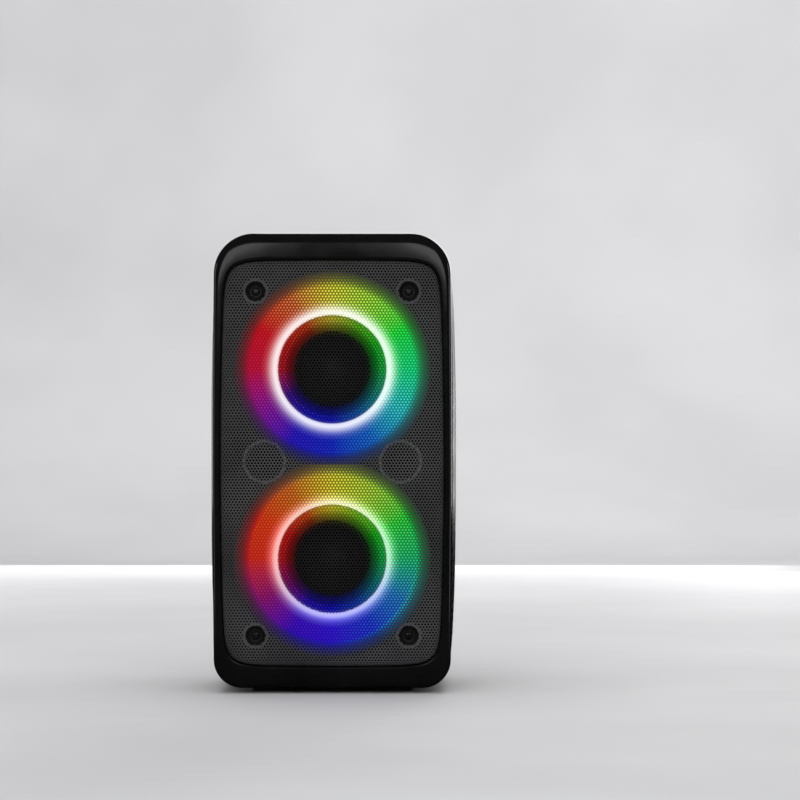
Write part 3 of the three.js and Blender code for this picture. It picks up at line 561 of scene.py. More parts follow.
# The same hues where the light shows straight through a hole.
SPOTS = {
    "upper": wheel((0.76, 0.74, 0.07), (0.4, 0.8, 0.08), (0.02, 0.74, 0.07), (0.015, 0.66, 0.24),
                   (0.05, 0.58, 0.6), (0.014, 0.15, 0.53), (0.003, 0.022, 0.45), (0.02, 0.01, 0.42),
                   (0.24, 0.014, 0.32), (0.46, 0.005, 0.04), (0.51, 0.006, 0.016), (0.72, 0.19, 0.06)),
    "lower": wheel((0.76, 0.66, 0.05), (0.4, 0.7, 0.07), (0.05, 0.65, 0.08), (0.025, 0.48, 0.18),
                   (0.03, 0.2, 0.52), (0.016, 0.055, 0.52), (0.024, 0.008, 0.47), (0.045, 0.004, 0.41),
                   (0.24, 0.01, 0.17), (0.54, 0.025, 0.012), (0.58, 0.05, 0.008), (0.64, 0.15, 0.02)),
}
# Inside the white band the hues change over a shorter way, on the metal and in the holes alike.
INNER_HUES = {
    "upper": wheel((0.26, 0.235, 0.012), (0.05, 0.235, 0.002), (0.001, 0.245, 0.004), (0, 0.215, 0.024),
                   (0.001, 0.12, 0.1), (0, 0.045, 0.2), (0, 0.001, 0.26), (0.001, 0, 0.24),
                   (0.02, 0, 0.14), (0.24, 0, 0.006), (0.27, 0.001, 0), (0.27, 0.018, 0)),
    "lower": wheel((0.29, 0.27, 0.008), (0.08, 0.26, 0.004), (0.004, 0.25, 0.004), (0.001, 0.21, 0.03),
                   (0.001, 0.09, 0.1), (0.001, 0.02, 0.2), (0.001, 0, 0.25), (0.008, 0, 0.23),
                   (0.09, 0, 0.07), (0.26, 0.001, 0.003), (0.29, 0.002, 0.001), (0.3, 0.03, 0.001)),
}
INNER_HOLE = 2.3                     # how much stronger they are in a hole


def grey(value):
    return (value, value, value)


def by_radius(stops, top=1.0):
    """Ramp stops from (radius in mm, value) pairs."""
    return tuple((radius / RAMP_R, grey(value / top)) for radius, value in stops)


# How strong the glow is, and how far it bleaches to white, from the driver's axis outwards.
# Strengths are over MAX_GLOW.
MAX_GLOW = 2.0
INNER_GLOW = ((0, 0), (22, 0.0), (26, 0.09), (30, 0.32), (33, 0.64), (36.2, 0.76))
OUTER_GLOW = ((50, 1.0), (56, 1.0), (58, 0.62), (60, 0.34), (62, 0.19), (64, 0.10), (67, 0.0))
GLOW = {
    "upper": {
        "gain": by_radius((*INNER_GLOW, (36.8, 1.3), (39, 1.28), (41, 1.3), (43, 1.24), (45, 1.1),
                           (47, 1.02), *OUTER_GLOW), MAX_GLOW),
        "white": by_radius(((0, 0), (34.6, 0), (36.2, 0.03), (37, 0.5), (38, 0.62), (39, 0.62),
                            (40, 0.48), (41, 0.34), (43, 0.12), (45, 0.03), (48, 0))),
    },
    "lower": {
        "gain": by_radius((*INNER_GLOW, (36.8, 1.6), (39, 1.8), (41, 1.65), (43, 1.28), (45, 1.08),
                           *OUTER_GLOW), MAX_GLOW),
        "white": by_radius(((0, 0), (34.6, 0), (36.2, 0.03), (37, 0.28), (38, 0.28), (39, 0.22),
                            (41, 0.075), (43, 0.03), (46, 0))),
    },
}


def ring_light(n, which, hues):
    """Emission colour and strength of a light ring, and the distance from its axis as a share of RAMP_R.

    Without a ring's name, the nearer ring above or below the middle is taken, with the upper one's hues.
    """
    across, _, height = n.position()
    if which:
        up = n.math("SUBTRACT", height, DRIVERS[which] * MM)
    else:
        middle = (DRIVERS["upper"] + DRIVERS["lower"]) / 2 * MM
        half = (DRIVERS["upper"] - DRIVERS["lower"]) / 2 * MM
        above = n.math("SUBTRACT", height, middle)
        sign = n.math("SUBTRACT", n.math("MULTIPLY", n.math("GREATER_THAN", above, 0.0), 2.0), 1.0)
        up = n.math("SUBTRACT", above, n.math("MULTIPLY", sign, half))
    turn = n.math("ARCTAN2", across, up)
    share = n.math("FRACT", n.math("ADD", n.math("DIVIDE", turn, TAU), 1.0))
    out = n.reach(across, up)
    key = which or "upper"
    inner = INNER_HUES[key]
    if hues is SPOTS:
        inner = tuple((at, tuple(min(1.0, value * INNER_HOLE) for value in colour)) for at, colour in inner)
    outside = n.ramp(out, ((0.0, grey(0.0)), (35.6 / RAMP_R, grey(0.0)), (36.8 / RAMP_R, grey(1.0))))
    hue = n.mix(outside, n.ramp(share, inner), n.ramp(share, hues[key]))
    colour = n.mix(n.ramp(out, GLOW[key]["white"]), hue, (1.0, 1.0, 1.0))
    return colour, n.ramp(out, GLOW[key]["gain"]), out


def glowing(name, which, hues, colour, roughness, specular=0.5, shaded=False, front_only=False):
    """A surface with its light ring's glow as emission, on top of its own finish: the diffuser's own light,
    and painted glow on the grille, baffle and surround, which are no lamps.

    shaded darkens its own colour near the driver, and front_only leaves a baffle's back unlit.
    """
    n = Nodes(name)
    n.feed(base_color=colour, specular=specular,
           roughness=n.spread(n.noise(60.0, 4.0), roughness - 0.06, roughness + 0.06))
    light, strength, out = ring_light(n, which, hues)
    strength = n.math("MULTIPLY", strength, MAX_GLOW)
    if front_only:
        in_front = n.math("LESS_THAN", n.position()[1], (BAFFLE_Y + 0.5) * MM)
        strength = n.math("MULTIPLY", strength, in_front)
    if shaded:
        shade = ((0.0, 0.020), (0.30, 0.012), (0.45, 0.003), (0.80, 0.003))
        n.feed(base_color=n.ramp(out, (*((place, grey(value)) for place, value in shade), (0.95, colour))))
    n.feed(emission=light, strength=strength)
    return n.finish()


def port_painted_highlight():
    """Dark plastic, with a painted highlight: a lighter line round the flare's edge."""
    n = Nodes("port_black")
    x, _, z = n.position()
    across = n.math("SUBTRACT", n.math("ABSOLUTE", x), PORT_X * MM)
    up = n.math("SUBTRACT", z, PORT_Z * MM)
    # painted highlight on the flare's edge, between 13.2 and 14.4 mm from the port's axis
    stops = by_radius(((0, 0.010), (12.4, 0.012), (13.2, 0.50), (14.4, 0.50), (15.0, 0.02)))
    n.feed(roughness=0.45, base_color=n.ramp(n.reach(across, up), stops))
    return n.finish()


# ---------------------------------------------------------------- materials
GLOSS = plain_finish("gloss_black", (0.0060, 0.0060, 0.0062), 0.13, 0.03, 900.0, variation=0.2, wear=0.03)
SATIN = plain_finish("satin_black", (0.019, 0.019, 0.0195), 0.42, 0.25, 2600.0, wear=0.07)
TEXTURED = plain_finish("textured_black", (0.017, 0.017, 0.018), 0.5, 0.5, 1500.0, wear=0.07)
MATT = plain_finish("matt_black", (0.012, 0.012, 0.012), 0.75, 0.3, 1800.0)
RUBBER = plain_finish("rubber_black", (0.018, 0.018, 0.018), 0.7, 0.4, 3000.0)
DARK_STEEL = plain_finish("dark_zinc", (0.06, 0.06, 0.063), 0.33, 0.1, 3000.0, metallic=0.9)
STEEL = plain_finish("plated_steel", (0.30, 0.30, 0.31), 0.34, 0.08, 3000.0, metallic=1.0, variation=0.1)
FERRITE = plain_finish("ferrite", (0.045, 0.045, 0.046), 0.6, 0.5, 2200.0)
COPPER = plain_finish("copper_wire", (0.62, 0.28, 0.13), 0.35, 0.4, 1600.0, metallic=1.0)
LINEN = plain_finish("spider_cloth", (0.42, 0.30, 0.13), 0.85, 0.8, 2000.0)
CONE = plain_finish("cone_black", (0.010, 0.010, 0.0105), 0.5, 0.2, 1800.0)
GREY = plain_finish("button_grey", (0.13, 0.13, 0.135), 0.4, 0.15, 2600.0)
BOARD = plain_finish("solder_mask", (0.010, 0.075, 0.035), 0.4, 0.25, 900.0, coat=0.3)
WRAP = plain_finish("battery_sleeve", (0.03, 0.10, 0.33), 0.35, 0.15, 700.0)
LENS = plain_finish("lamp_lens", (0.06, 0.06, 0.06), 0.15)
PORT = port_painted_highlight()
CHEEK = plain_finish("cheek_black", (0.022, 0.022, 0.0225), 0.28, 0.08, 1800.0, variation=0.2, wear=0.05)
FRAME_LOOK = plain_finish("frame_black", (0.028, 0.028, 0.0285), 0.36, 0.15, 2000.0, variation=0.2,
                          wear=0.05)
IO_PLASTIC = plain_finish("panel_black", (0.016, 0.016, 0.0165), 0.36, 0.3, 2400.0)
GOLD = plain_finish("contact_gold", (0.80, 0.55, 0.22), 0.3, metallic=1.0, variation=0.1)
IVORY = plain_finish("tongue_grey", (0.13, 0.13, 0.13), 0.45)
MARK = plain_finish("sign_grey", (0.32, 0.32, 0.32), 0.5, 0.2)
PAINT = (0.066, 0.066, 0.068)
GRILLE_PAINT = plain_finish("grille_paint", PAINT, 0.5, wear=0.06, specular=0.15)
# Painted shade: the wells' dish is painted near black for the shade inside each well; the sheet's own paint
# is the grille's.
WELL_SHADE = plain_finish("well_painted_shade", (0.010, 0.010, 0.010), 0.45, wear=0.06, specular=0.3)
# The grille's metal near each ring carries a painted glow: emission for the ring's light on the web, over a
# base colour painted darker near the driver.
GRILLE_LIT = {w: glowing(f"grille_lit_{w}", w, HUES, PAINT, 0.5, specular=0.1, shaded=True)
              for w in DRIVERS}
# The baffle carries a painted glow: emission for the ring's light seen through the grille's holes; its back
# stays unlit.
BAFFLE_LIT = glowing("baffle_lit", None, SPOTS, (0.010, 0.010, 0.010), 0.6, front_only=True)
DIFFUSER = {w: glowing(f"diffuser_{w}", w, SPOTS, (0.05, 0.05, 0.05), 0.5, specular=0.1) for w in DRIVERS}
# The surrounds carry a painted glow: emission for the ring's light spilling onto them.
SURROUND = {w: glowing(f"surround_{w}", w, SPOTS, (0.012, 0.012, 0.012), 0.5) for w in DRIVERS}


def dress(obj, look):
    obj.data.materials.clear()
    obj.data.materials.append(look)
    return obj


def place_piece(obj, look, slot, *nodes, body="cabinet"):
    """Gives a piece its material and body, and hides the CAD nodes it stands for; slot is not used."""
    dress(obj, look)
    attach(obj, body)
    if nodes:
        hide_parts(*nodes)
    return obj


# ---------------------------------------------------------------- front
def quarter(start, end, steps, first_axis):
    """Points of a quarter ellipse between two (inset, y) points, leaving start along first_axis."""
    (a0, b0), (a1, b1) = start, end
    points = []
    for k in range(1, steps + 1):
        angle = k / steps * math.pi / 2
        s, c = math.sin(angle), 1 - math.cos(angle)
        u, v = (s, c) if first_axis == 0 else (c, s)
        points.append((a0 + (a1 - a0) * u, b0 + (b1 - b0) * v))
    return points


BEZEL_ROUND_Y = 6.8


def make_bezel():
    """A crowned face that rolls over into the sides, and a small lip round the opening."""
    outer, inner = cabinet_outline(0), grown(OPENING, 0.9)
    rings = [in_xz(outer, y) for y in (BEZEL_BACK_Y, BEZEL_BACK_Y - 6, FRONT_Y + BEZEL_ROUND_Y)]
    for share in np.concatenate([np.linspace(0, 1, 18)[1:] ** 2.2 * 0.4, np.linspace(0.47, 1, 9)]):
        depth = BEZEL_ROUND_Y * math.sqrt(1 - (1 - share) ** 4)
        rings.append(in_xz(outer * (1 - share) + inner * share, FRONT_Y + BEZEL_ROUND_Y - depth))
    for inset, y in quarter((-0.9, FRONT_Y), (0, FRONT_Y + 1.1), 5, 0):
        rings.append(in_xz(opening_outline(inset), y))
    rings.append(in_xz(OPENING, FRONT_Y + 4))
    rings.append(in_xz(cabinet_outline(3), FRONT_Y + 7))
    rings.append(in_xz(cabinet_outline(3), BEZEL_BACK_Y))
    bezel = skin("bezel", rings, closed=True)
    place_piece(smooth(bezel, 40), GLOSS, "gloss_black", "front_bezel")


def roll_sheet(points, back):
    """Wraps flat grille points (x, z) round the tray's rolled edge; back shifts to the inner face."""
    edge = opening_outline(GRILLE_GAP + ROLL_R)
    dense = np.concatenate([edge + (np.roll(edge, -1, 0) - edge) * t for t in (0.0, 0.25, 0.5, 0.75)])
    order = np.argsort(np.arange(len(dense)) % len(edge) + np.arange(len(dense)) // len(edge) * 0.25)
    dense = dense[order]
    along = np.roll(dense, -1, 0) - np.roll(dense, 1, 0)
    normal = np.stack([along[:, 1], -along[:, 0]], 1)
    normal /= np.linalg.norm(normal, axis=1)[:, None]
    placed = np.empty((len(points), 3))
    for start in range(0, len(points), 4000):
        some = points[start:start + 4000]
        gap = some[:, None, :] - dense[None, :, :]
        nearest = np.argmin((gap ** 2).sum(2), 1)
        off = gap[np.arange(len(some)), nearest]
        out = (off * normal[nearest]).sum(1)
        angle = np.clip(out / ROLL_R, 0, math.pi / 2)
        straight = np.maximum(out - ROLL_R * math.pi / 2, 0)
        reach = ROLL_R - GRILLE_T * back
        lateral = np.where(out > 0, reach * np.sin(angle), out)
        flat = some + normal[nearest] * (lateral - out)[:, None]
        depth = np.where(out > 0, ROLL_R - reach * np.cos(angle) + straight, GRILLE_T * back)
        placed[start:start + 4000] = np.stack([flat[:, 0], GRILLE_Y + depth, flat[:, 1]], 1)
    return placed


HOLE_SIDES = 8


def following(angles, k):
    """The angle after number k, counted on past whole turns."""
    count = len(angles)
    here = angles[k % count]
    return here + TAU * (k // count) + (angles[(k + 1) % count] - here) % TAU


def zipper(outer_angles, inner_angles):
    """Triangles between two rings of points, each given by its angle in turn."""
    a, b = len(outer_angles), len(inner_angles)
    faces, i, j = [], 0, 0
    while i < a or j < b:
        next_outer = following(outer_angles, i)
        next_inner = following(inner_angles, j)
        if j >= b or (i < a and next_outer <= next_inner):
            faces.append((("o", i % a), ("o", (i + 1) % a), ("i", j % b)))
            i += 1
        else:
            faces.append((("o", i % a), ("i", (j + 1) % b), ("i", j % b)))
            j += 1
    return faces


def perforated(name, centres):
    """A sheet of hexagonal cells, each with a round hole through it."""
    corner_angles = [math.pi / 6 + k * TAU / 6 for k in range(6)]
    hole_angles = [math.pi / 6 + k * TAU / HOLE_SIDES for k in range(HOLE_SIDES)]
    corner_r = PITCH / math.sqrt(3)
    corners = centres[:, None, :] + corner_r * np.array([(math.cos(a), math.sin(a)) for a in corner_angles])
    holes = centres[:, None, :] + HOLE_R * np.array([(math.cos(a), math.sin(a)) for a in hole_angles])
    keys, index = np.unique(np.round(corners.reshape(-1, 2), 3), axis=0, return_inverse=True)
    index = index.reshape(len(centres), 6)
    hole_index = len(keys) + np.arange(len(centres) * HOLE_SIDES).reshape(-1, HOLE_SIDES)
    flat = np.concatenate([keys, holes.reshape(-1, 2)])
    count = len(flat)
    front, rear = roll_sheet(flat, 0), roll_sheet(flat, 1)
    triangles = []
    for face in zipper(corner_angles, hole_angles):
        triangles.append(np.stack([(index if ring == "o" else hole_index)[:, k] for ring, k in face], 1))
    top = np.concatenate(triangles)
    faces = [top, top[:, ::-1] + count]
    for k in range(HOLE_SIDES):
        a, b = hole_index[:, k], hole_index[:, (k + 1) % HOLE_SIDES]
        faces.append(np.stack([a, b, b + count], 1))
        faces.append(np.stack([a, b + count, a + count], 1))
    edges = np.concatenate([np.stack([index[:, k], index[:, (k + 1) % 6]], 1) for k in range(6)])
    ordered = np.sort(edges, 1)
    _, first, times = np.unique(ordered, axis=0, return_index=True, return_counts=True)
    rim = edges[first[times == 1]]
    faces.append(np.stack([rim[:, 1], rim[:, 0], rim[:, 0] + count], 1))
    faces.append(np.stack([rim[:, 1], rim[:, 0] + count, rim[:, 1] + count], 1))
    return fast_mesh(name, np.concatenate([front, rear]), np.concatenate(faces))


def fast_mesh(name, points, triangles):
    mesh = bpy.data.meshes.new(name)
    mesh.vertices.add(len(points))
    mesh.vertices.foreach_set("co", (points * MM).astype(np.float32).ravel())
    mesh.loops.add(len(triangles) * 3)
    mesh.loops.foreach_set("vertex_index", triangles.astype(np.int32).ravel())
    mesh.polygons.add(len(triangles))
    mesh.polygons.foreach_set("loop_start", np.arange(0, len(triangles) * 3, 3, dtype=np.int32))
    mesh.update(calc_edges=True)
    mesh.validate()
    return into_scene(name, mesh)


def lattice():
    """Hole centres over the whole sheet, wells left out."""
    row = PITCH * math.sqrt(3) / 2
    middle = (OPENING_TOP + OPENING_BOTTOM) / 2
    rows = np.arange(-80, 81)
    columns = np.arange(-40, 41)
    x = columns[None, :] * PITCH + (rows[:, None] % 2) * PITCH / 2
    z = middle + rows[:, None] * row + 0 * x
    centres = np.stack([x.ravel(), z.ravel()], 1)
    reach = grown(opening_outline(GRILLE_GAP + ROLL_R), ROLL_R * math.pi / 2 + 0.9)
    centres = centres[inside(centres, reach)]
    for x, z in WELLS:
        centres = centres[np.hypot(centres[:, 0] - x, centres[:, 1] - z) > WELL_R + 0.5]
    return centres


def inside(points, outline):
    """Which points lie in a convex outline that runs anticlockwise."""
    result = np.ones(len(points), bool)
    for a, b in zip(outline, np.roll(outline, -1, 0)):
        side = (b[0] - a[0]) * (points[:, 1] - a[1]) - (b[1] - a[1]) * (points[:, 0] - a[0])
        result &= side > -1e-6
    return result


def make_grille():
    centres = lattice()
    middle = sum(DRIVERS.values()) / 2
    x, height = centres.T
    near = {which: (np.hypot(x, height - z) < GLOW_R) & ((height > middle) == (z > middle))
            for which, z in DRIVERS.items()}
    for which in DRIVERS:
        sheet = perforated(f"grille_over_{which}_light", centres[near[which]])
        place_piece(sheet, GRILLE_LIT[which], "grille_metal", "grille")
    field = centres[~near["upper"] & ~near["lower"]]
    for side, chosen in (("left", field[:, 0] < 0), ("right", field[:, 0] >= 0)):
        place_piece(perforated(f"grille_{side}", field[chosen]), GRILLE_PAINT, "grille_metal", "grille")
    inner = GRILLE_GAP + GRILLE_T
    rings = [in_xz(opening_outline(inset), GRILLE_Y + depth)
             for inset, depth in ((GRILLE_GAP, 3.0), (GRILLE_GAP, 5.8), (inner, 5.8), (inner, 3.0))]
    place_piece(smooth(skin("grille_flange", rings, closed=True)), GRILLE_PAINT, "grille_metal", "grille")
    floor = GRILLE_Y + WELL_DEPTH
    profile = [
        (1.8, floor), (WELL_R - 2.8, floor), (WELL_R - 1.9, floor - 0.5), (WELL_R - 0.3, GRILLE_Y + 0.5),
        (WELL_R, GRILLE_Y + 0.06), (WELL_R + 0.3, GRILLE_Y + 0.02), (WELL_R + 0.35, GRILLE_Y + 0.3),
        (WELL_R + 0.6, GRILLE_Y + GRILLE_T), (WELL_R - 1.2, floor + GRILLE_T), (1.8, floor + GRILLE_T),
    ]
    flange = [(WELL_R + 0.2, GRILLE_Y + 0.08), (WELL_R + 1.9, GRILLE_Y + 0.08),
              (WELL_R + 1.9, GRILLE_Y + 0.8), (WELL_R + 0.2, GRILLE_Y + 0.8)]
    for number, (x, z) in enumerate(WELLS, 1):
        rim = smooth(turned(f"grille_well_rim_{number}", flange, x, z, 64))
        place_piece(rim, GRILLE_PAINT, "grille_metal", "grille")
        # the dish carries the painted shade
        dish = smooth(turned(f"grille_well_{number}", rounded(profile, 0.5), x, z, 64))
        place_piece(dish, WELL_SHADE, "grille_metal", "grille")


def screw(name, x, z, head_y, head_r, shank_r, length, facing):
    """A pan head with a cross recess; facing is the way the head points along Y."""
    under = head_y - facing * SCREW_HEAD_T
    profile = [
        (0, head_y), (head_r * 0.55, head_y - facing * 0.08), (head_r * 0.85, head_y - facing * 0.4),
        (head_r, head_y - facing * 0.9), (head_r, under), (shank_r, under),
        (shank_r, under - facing * length), (0, under - facing * length),
    ]
    body = turned(name, profile, x, z, 40)
    arm, slot, deep = head_r * 0.6, head_r * 0.14, head_y - facing * 1.0
    y0, y1 = sorted((deep, head_y + facing))
    cross = [block("arm", (x - arm, y0, z - slot), (x + arm, y1, z + slot)),
             block("arm", (x - slot, y0, z - arm), (x + slot, y1, z + arm))]
    return smooth(combine(body, cross), 30)


def make_grille_screws():
    head_y = GRILLE_Y + WELL_DEPTH - SCREW_HEAD_T - GAP
    for number, (x, z) in enumerate(WELLS, 1):
        piece = screw(f"grille_screw_head_{number}", x, z, head_y, 2.7, 1.3, 14, -1)
        place_piece(piece, DARK_STEEL, "dark_steel", f"grille_screw_{number}")


# ---------------------------------------------------------------- drivers
def at(profile):
    """Measures a profile's depths from the baffle's face."""
    return [(radius, BAFFLE_Y + depth) for radius, depth in profile]


RING_PARTS = 12
ARC_STEPS = 11
DOME_R = 11.0
DOME_ANGLE = 1.25                    # how far round its sphere the dust cap reaches, in radians
CONE_R = 27.0
ROLL_MID_R = 30.5                    # the surround's half roll
ROLL_RIM_R = 35.9
SPIDER_IN_R = 10.5
SPIDER_DEPTH = 15.4


def flexing_ring(name, profile, z, look, node):
    """A soft ring, made in sectors."""
    for k in range(RING_PARTS):
        sector = []
        for turn in np.linspace(k, k + 1, ARC_STEPS) * TAU / RING_PARTS:
            sector.append(np.array([(r * math.sin(turn), y, z + r * math.cos(turn)) for r, y in profile]))
        piece = dress(smooth(skin(f"{name}_{k + 1}", sector), 50), look)
        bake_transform(piece)
        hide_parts(node)


def make_cone(which, z):
    """Dust cap and ribbed paper in one, open at the back."""
    rim, crown = math.sin(DOME_ANGLE), 1 - math.cos(DOME_ANGLE)
    dome = [(0.0, 4.2)] + [(DOME_R * math.sin(a) / rim, 4.2 + 5.4 * (1 - math.cos(a)) / crown)
                           for a in np.linspace(0.2, DOME_ANGLE, 10)]
    ribs = [(12.0 + k * 13.4 / 40, 9.4 - 11.1 * (k / 40) ** 0.9 - 0.12 * math.sin(k * 1.57))
            for k in range(41)]
    back = [(10.4, 12.4), (8.8, 12.4), (8.8, 9.3), (5, 6.6), (0.0, 5.4)]
    profile = dome + ribs + [(CONE_R - 0.1, -1.75), (CONE_R, -1.2)] + back
    cone = turned(f"{which}_cone", at(profile), 0, z, 128)
    place_piece(smooth(cone, 50), CONE, "cone", f"{which}_driver_cone", body=f"{which}_cone")


def make_suspension(which, z):
    """The surround, with its half roll, and the corrugated spider."""
    roll = [(ROLL_MID_R + 3.3 * math.cos(a), -2.6 - 3.0 * math.sin(a))
            for a in np.linspace(math.pi, 0, 14)]
    under = [(ROLL_MID_R + 2.7 * math.cos(a), -2.1 - 2.6 * math.sin(a))
             for a in np.linspace(0, math.pi, 12)]
    lip = [(ROLL_RIM_R, -2.8), (ROLL_RIM_R, -2.1)]
    profile = [(CONE_R - 1.4, -2.8)] + roll + lip + under + [(CONE_R - 1.4, -2.1)]
    flexing_ring(f"{which}_roll", at(profile), z, SURROUND[which], f"{which}_surround")
    waves = [(SPIDER_IN_R + k * 0.45, SPIDER_DEPTH + 0.8 * math.sin(k * 0.97)) for k in range(27)]
    spider = waves + [(r, d + 0.5) for r, d in reversed(waves)]
    flexing_ring(f"{which}_spider_disc", at(spider), z, LINEN, f"{which}_spider")


def make_light_ring(which, z):
    shell = [
        (LIGHT_IN_R, -2.0), (LIGHT_IN_R, -4.4), (LIGHT_IN_R + 1.2, -6.2), (LIGHT_IN_R + 4, -7.2),
        (LIGHT_IN_R + 8, -7.5), (LIGHT_OUT_R - 7, -6.9), (LIGHT_OUT_R - 3, -5.4), (LIGHT_OUT_R, -2.8),
        (LIGHT_OUT_R, -0.3), (LIGHT_OUT_R - 1.5, -0.3), (LIGHT_OUT_R - 1.5, -2.2),
        (LIGHT_OUT_R - 7, -5.2), (LIGHT_IN_R + 6, -5.9), (LIGHT_IN_R + 2.6, -4.6),
        (LIGHT_IN_R + 1.6, -2.0),
    ]
    ring = smooth(turned(f"{which}_light_ring", at(rounded(shell, 1.2)), 0, z, 160), 40)
    place_piece(ring, DIFFUSER[which], "diffuser", f"{which}_light_diffuser")


# ---------------------------------------------------------------- cabinet
def soft_min(a, b, blend):
    """The smaller of two values, rounded off where they meet."""
    return (a + b - np.sqrt((a - b) ** 2 + blend ** 2)) / 2


def smooth_curve(x, knots):
    """A monotone cubic through (place, value) knots."""
    xs, ys = (np.array([knot[i] for knot in knots], float) for i in (0, 1))
    steps = np.diff(ys) / np.diff(xs)
    slopes = np.concatenate([[steps[0]], (steps[:-1] + steps[1:]) / 2, [steps[-1]]])
    flat = np.concatenate([[False], steps[:-1] * steps[1:] <= 0, [False]])
    slopes[flat] = 0
    k = np.clip(np.searchsorted(xs, x) - 1, 0, len(xs) - 2)
    width = xs[k + 1] - xs[k]
    t = np.clip((x - xs[k]) / width, 0, 1)
    return (ys[k] * (1 + 2 * t) * (1 - t) ** 2 + ys[k + 1] * (3 - 2 * t) * t ** 2
            + width * (slopes[k] * t * (1 - t) ** 2 - slopes[k + 1] * t ** 2 * (1 - t)))


SLOPE = math.sqrt(0.5)


def dimple_limit(u, dz):
    """Height above the slope that is left after one dimple: u runs back along the slope."""
    r = np.hypot(u, dz)
    dish = smooth_curve(np.clip(r, 0, DIMPLE_R), (
        (0, -3.4), (10, -3.1), (15.4, -2.45), (18.6, -1.75), (20.0, -0.8), (DIMPLE_R, 0.0)))
    dish = dish + 0.11 * np.cos(r * TAU / 1.35) * ((r > 9) & (r < 18.8))
    dish = np.where(r > DIMPLE_R, (r - DIMPLE_R) * 1.6, dish)
    lean = BOWL_TILT - math.pi / 4
    reach = BOWL_SPHERE_R - BOWL_DEPTH
    centre_u = -BOWL_SHIFT + reach * math.sin(lean)
    centre_h = reach * math.cos(lean)
    flat = BOWL_SPHERE_R ** 2 - (u - centre_u) ** 2 - dz ** 2
    bowl = np.where(flat > 0, centre_h - np.sqrt(np.maximum(flat, 0)), 30.0)
    return soft_min(dish, bowl, 0.35)


def make_cheek(side):
    """A bowed skin that slopes inwards at the back, pressed in at each dimple."""
    heights = np.linspace(CHEEK_BOTTOM, CHEEK_TOP, 360)
    ys = np.concatenate([np.linspace(-49.4, 18, 44), np.linspace(18.5, 54, 92)])
    y = np.tile(ys, (len(heights), 1))
    z = np.tile(heights[:, None], (1, len(ys)))
    share = 1 - smooth_curve(ys, CHEEK_CROWN) / (CHEEK_HALF_W - SHELL_HALF_W)
    edge = smooth_curve(heights, CHEEK_EDGE)
    flank = SHELL_HALF_W + (edge[:, None] - SHELL_HALF_W) * np.maximum(share, 0.02)[None, :]
    x = soft_min(flank, DIMPLE_X + DIMPLE_Y - y, 1.2)
    nearest = np.argmin(np.abs(z[..., None] - np.array(DIMPLE_ZS)), -1)
    dz = z - np.array(DIMPLE_ZS)[nearest]
    h = ((x - DIMPLE_X) + (y - DIMPLE_Y)) * SLOPE
    u = ((y - DIMPLE_Y) - (x - DIMPLE_X)) * SLOPE
    drop = np.maximum(h - soft_min(h, dimple_limit(u, dz), 0.3) - 0.02, 0.0)
    x, y = x - drop * SLOPE, y - drop * SLOPE
    back = np.array([(SEAT_BACK_HALF_W + 0.5, SHELL_BACK_Y), (SEAT_BACK_HALF_W + 0.5, PANEL_SEAT_Y),
                     (SEAT_HALF_W + 0.5, SEAT_BEND_Y), (SEAT_HALF_W + 0.5, -49.4)])
    rings = []
    for k, height in enumerate(heights):
        outer = np.stack([x[k], y[k], z[k]], 1)
        rings.append(np.concatenate([outer, np.column_stack([back, np.full(4, height)])]))
    body = np.array(rings) * (side, 1, 1)
    name = "right" if side > 0 else "left"
    cheek = skin(f"{name}_cheek", list(body))
    place_piece(smooth(cheek, 38), CHEEK, "gloss_black", f"{name}_side_cheek")


def cabinet_ring(y):
    """The cabinet's outline at a depth: it narrows and drops towards the back."""
    outline = cabinet_outline(0)
    slope = SHELL_HALF_W - (y - BEND_Y) * ((SHELL_HALF_W - BACK_HALF_W) / (SHELL_BACK_Y - BEND_Y))
    half = float(soft_min(SHELL_HALF_W, slope, 1.0))
    drop = max(0.0, (y - TOP_SLOPE_Y) / (SHELL_BACK_Y - TOP_SLOPE_Y)) ** 1.6 * (HEIGHT - BACK_TOP_Z)
    tall = 1 - drop / (HEIGHT - BASE_Z)
    squeezed = outline * (half / SHELL_HALF_W, tall) + (0, BASE_Z * (1 - tall))
    return in_xz(squeezed, y)


def key_holes(radius):
    """Tools that cut the five holes for the keys."""
    return [prism_z("key_hole", circle(x, KEY_Y, radius), HEIGHT - 20, ABOVE) for x in KEY_XS]


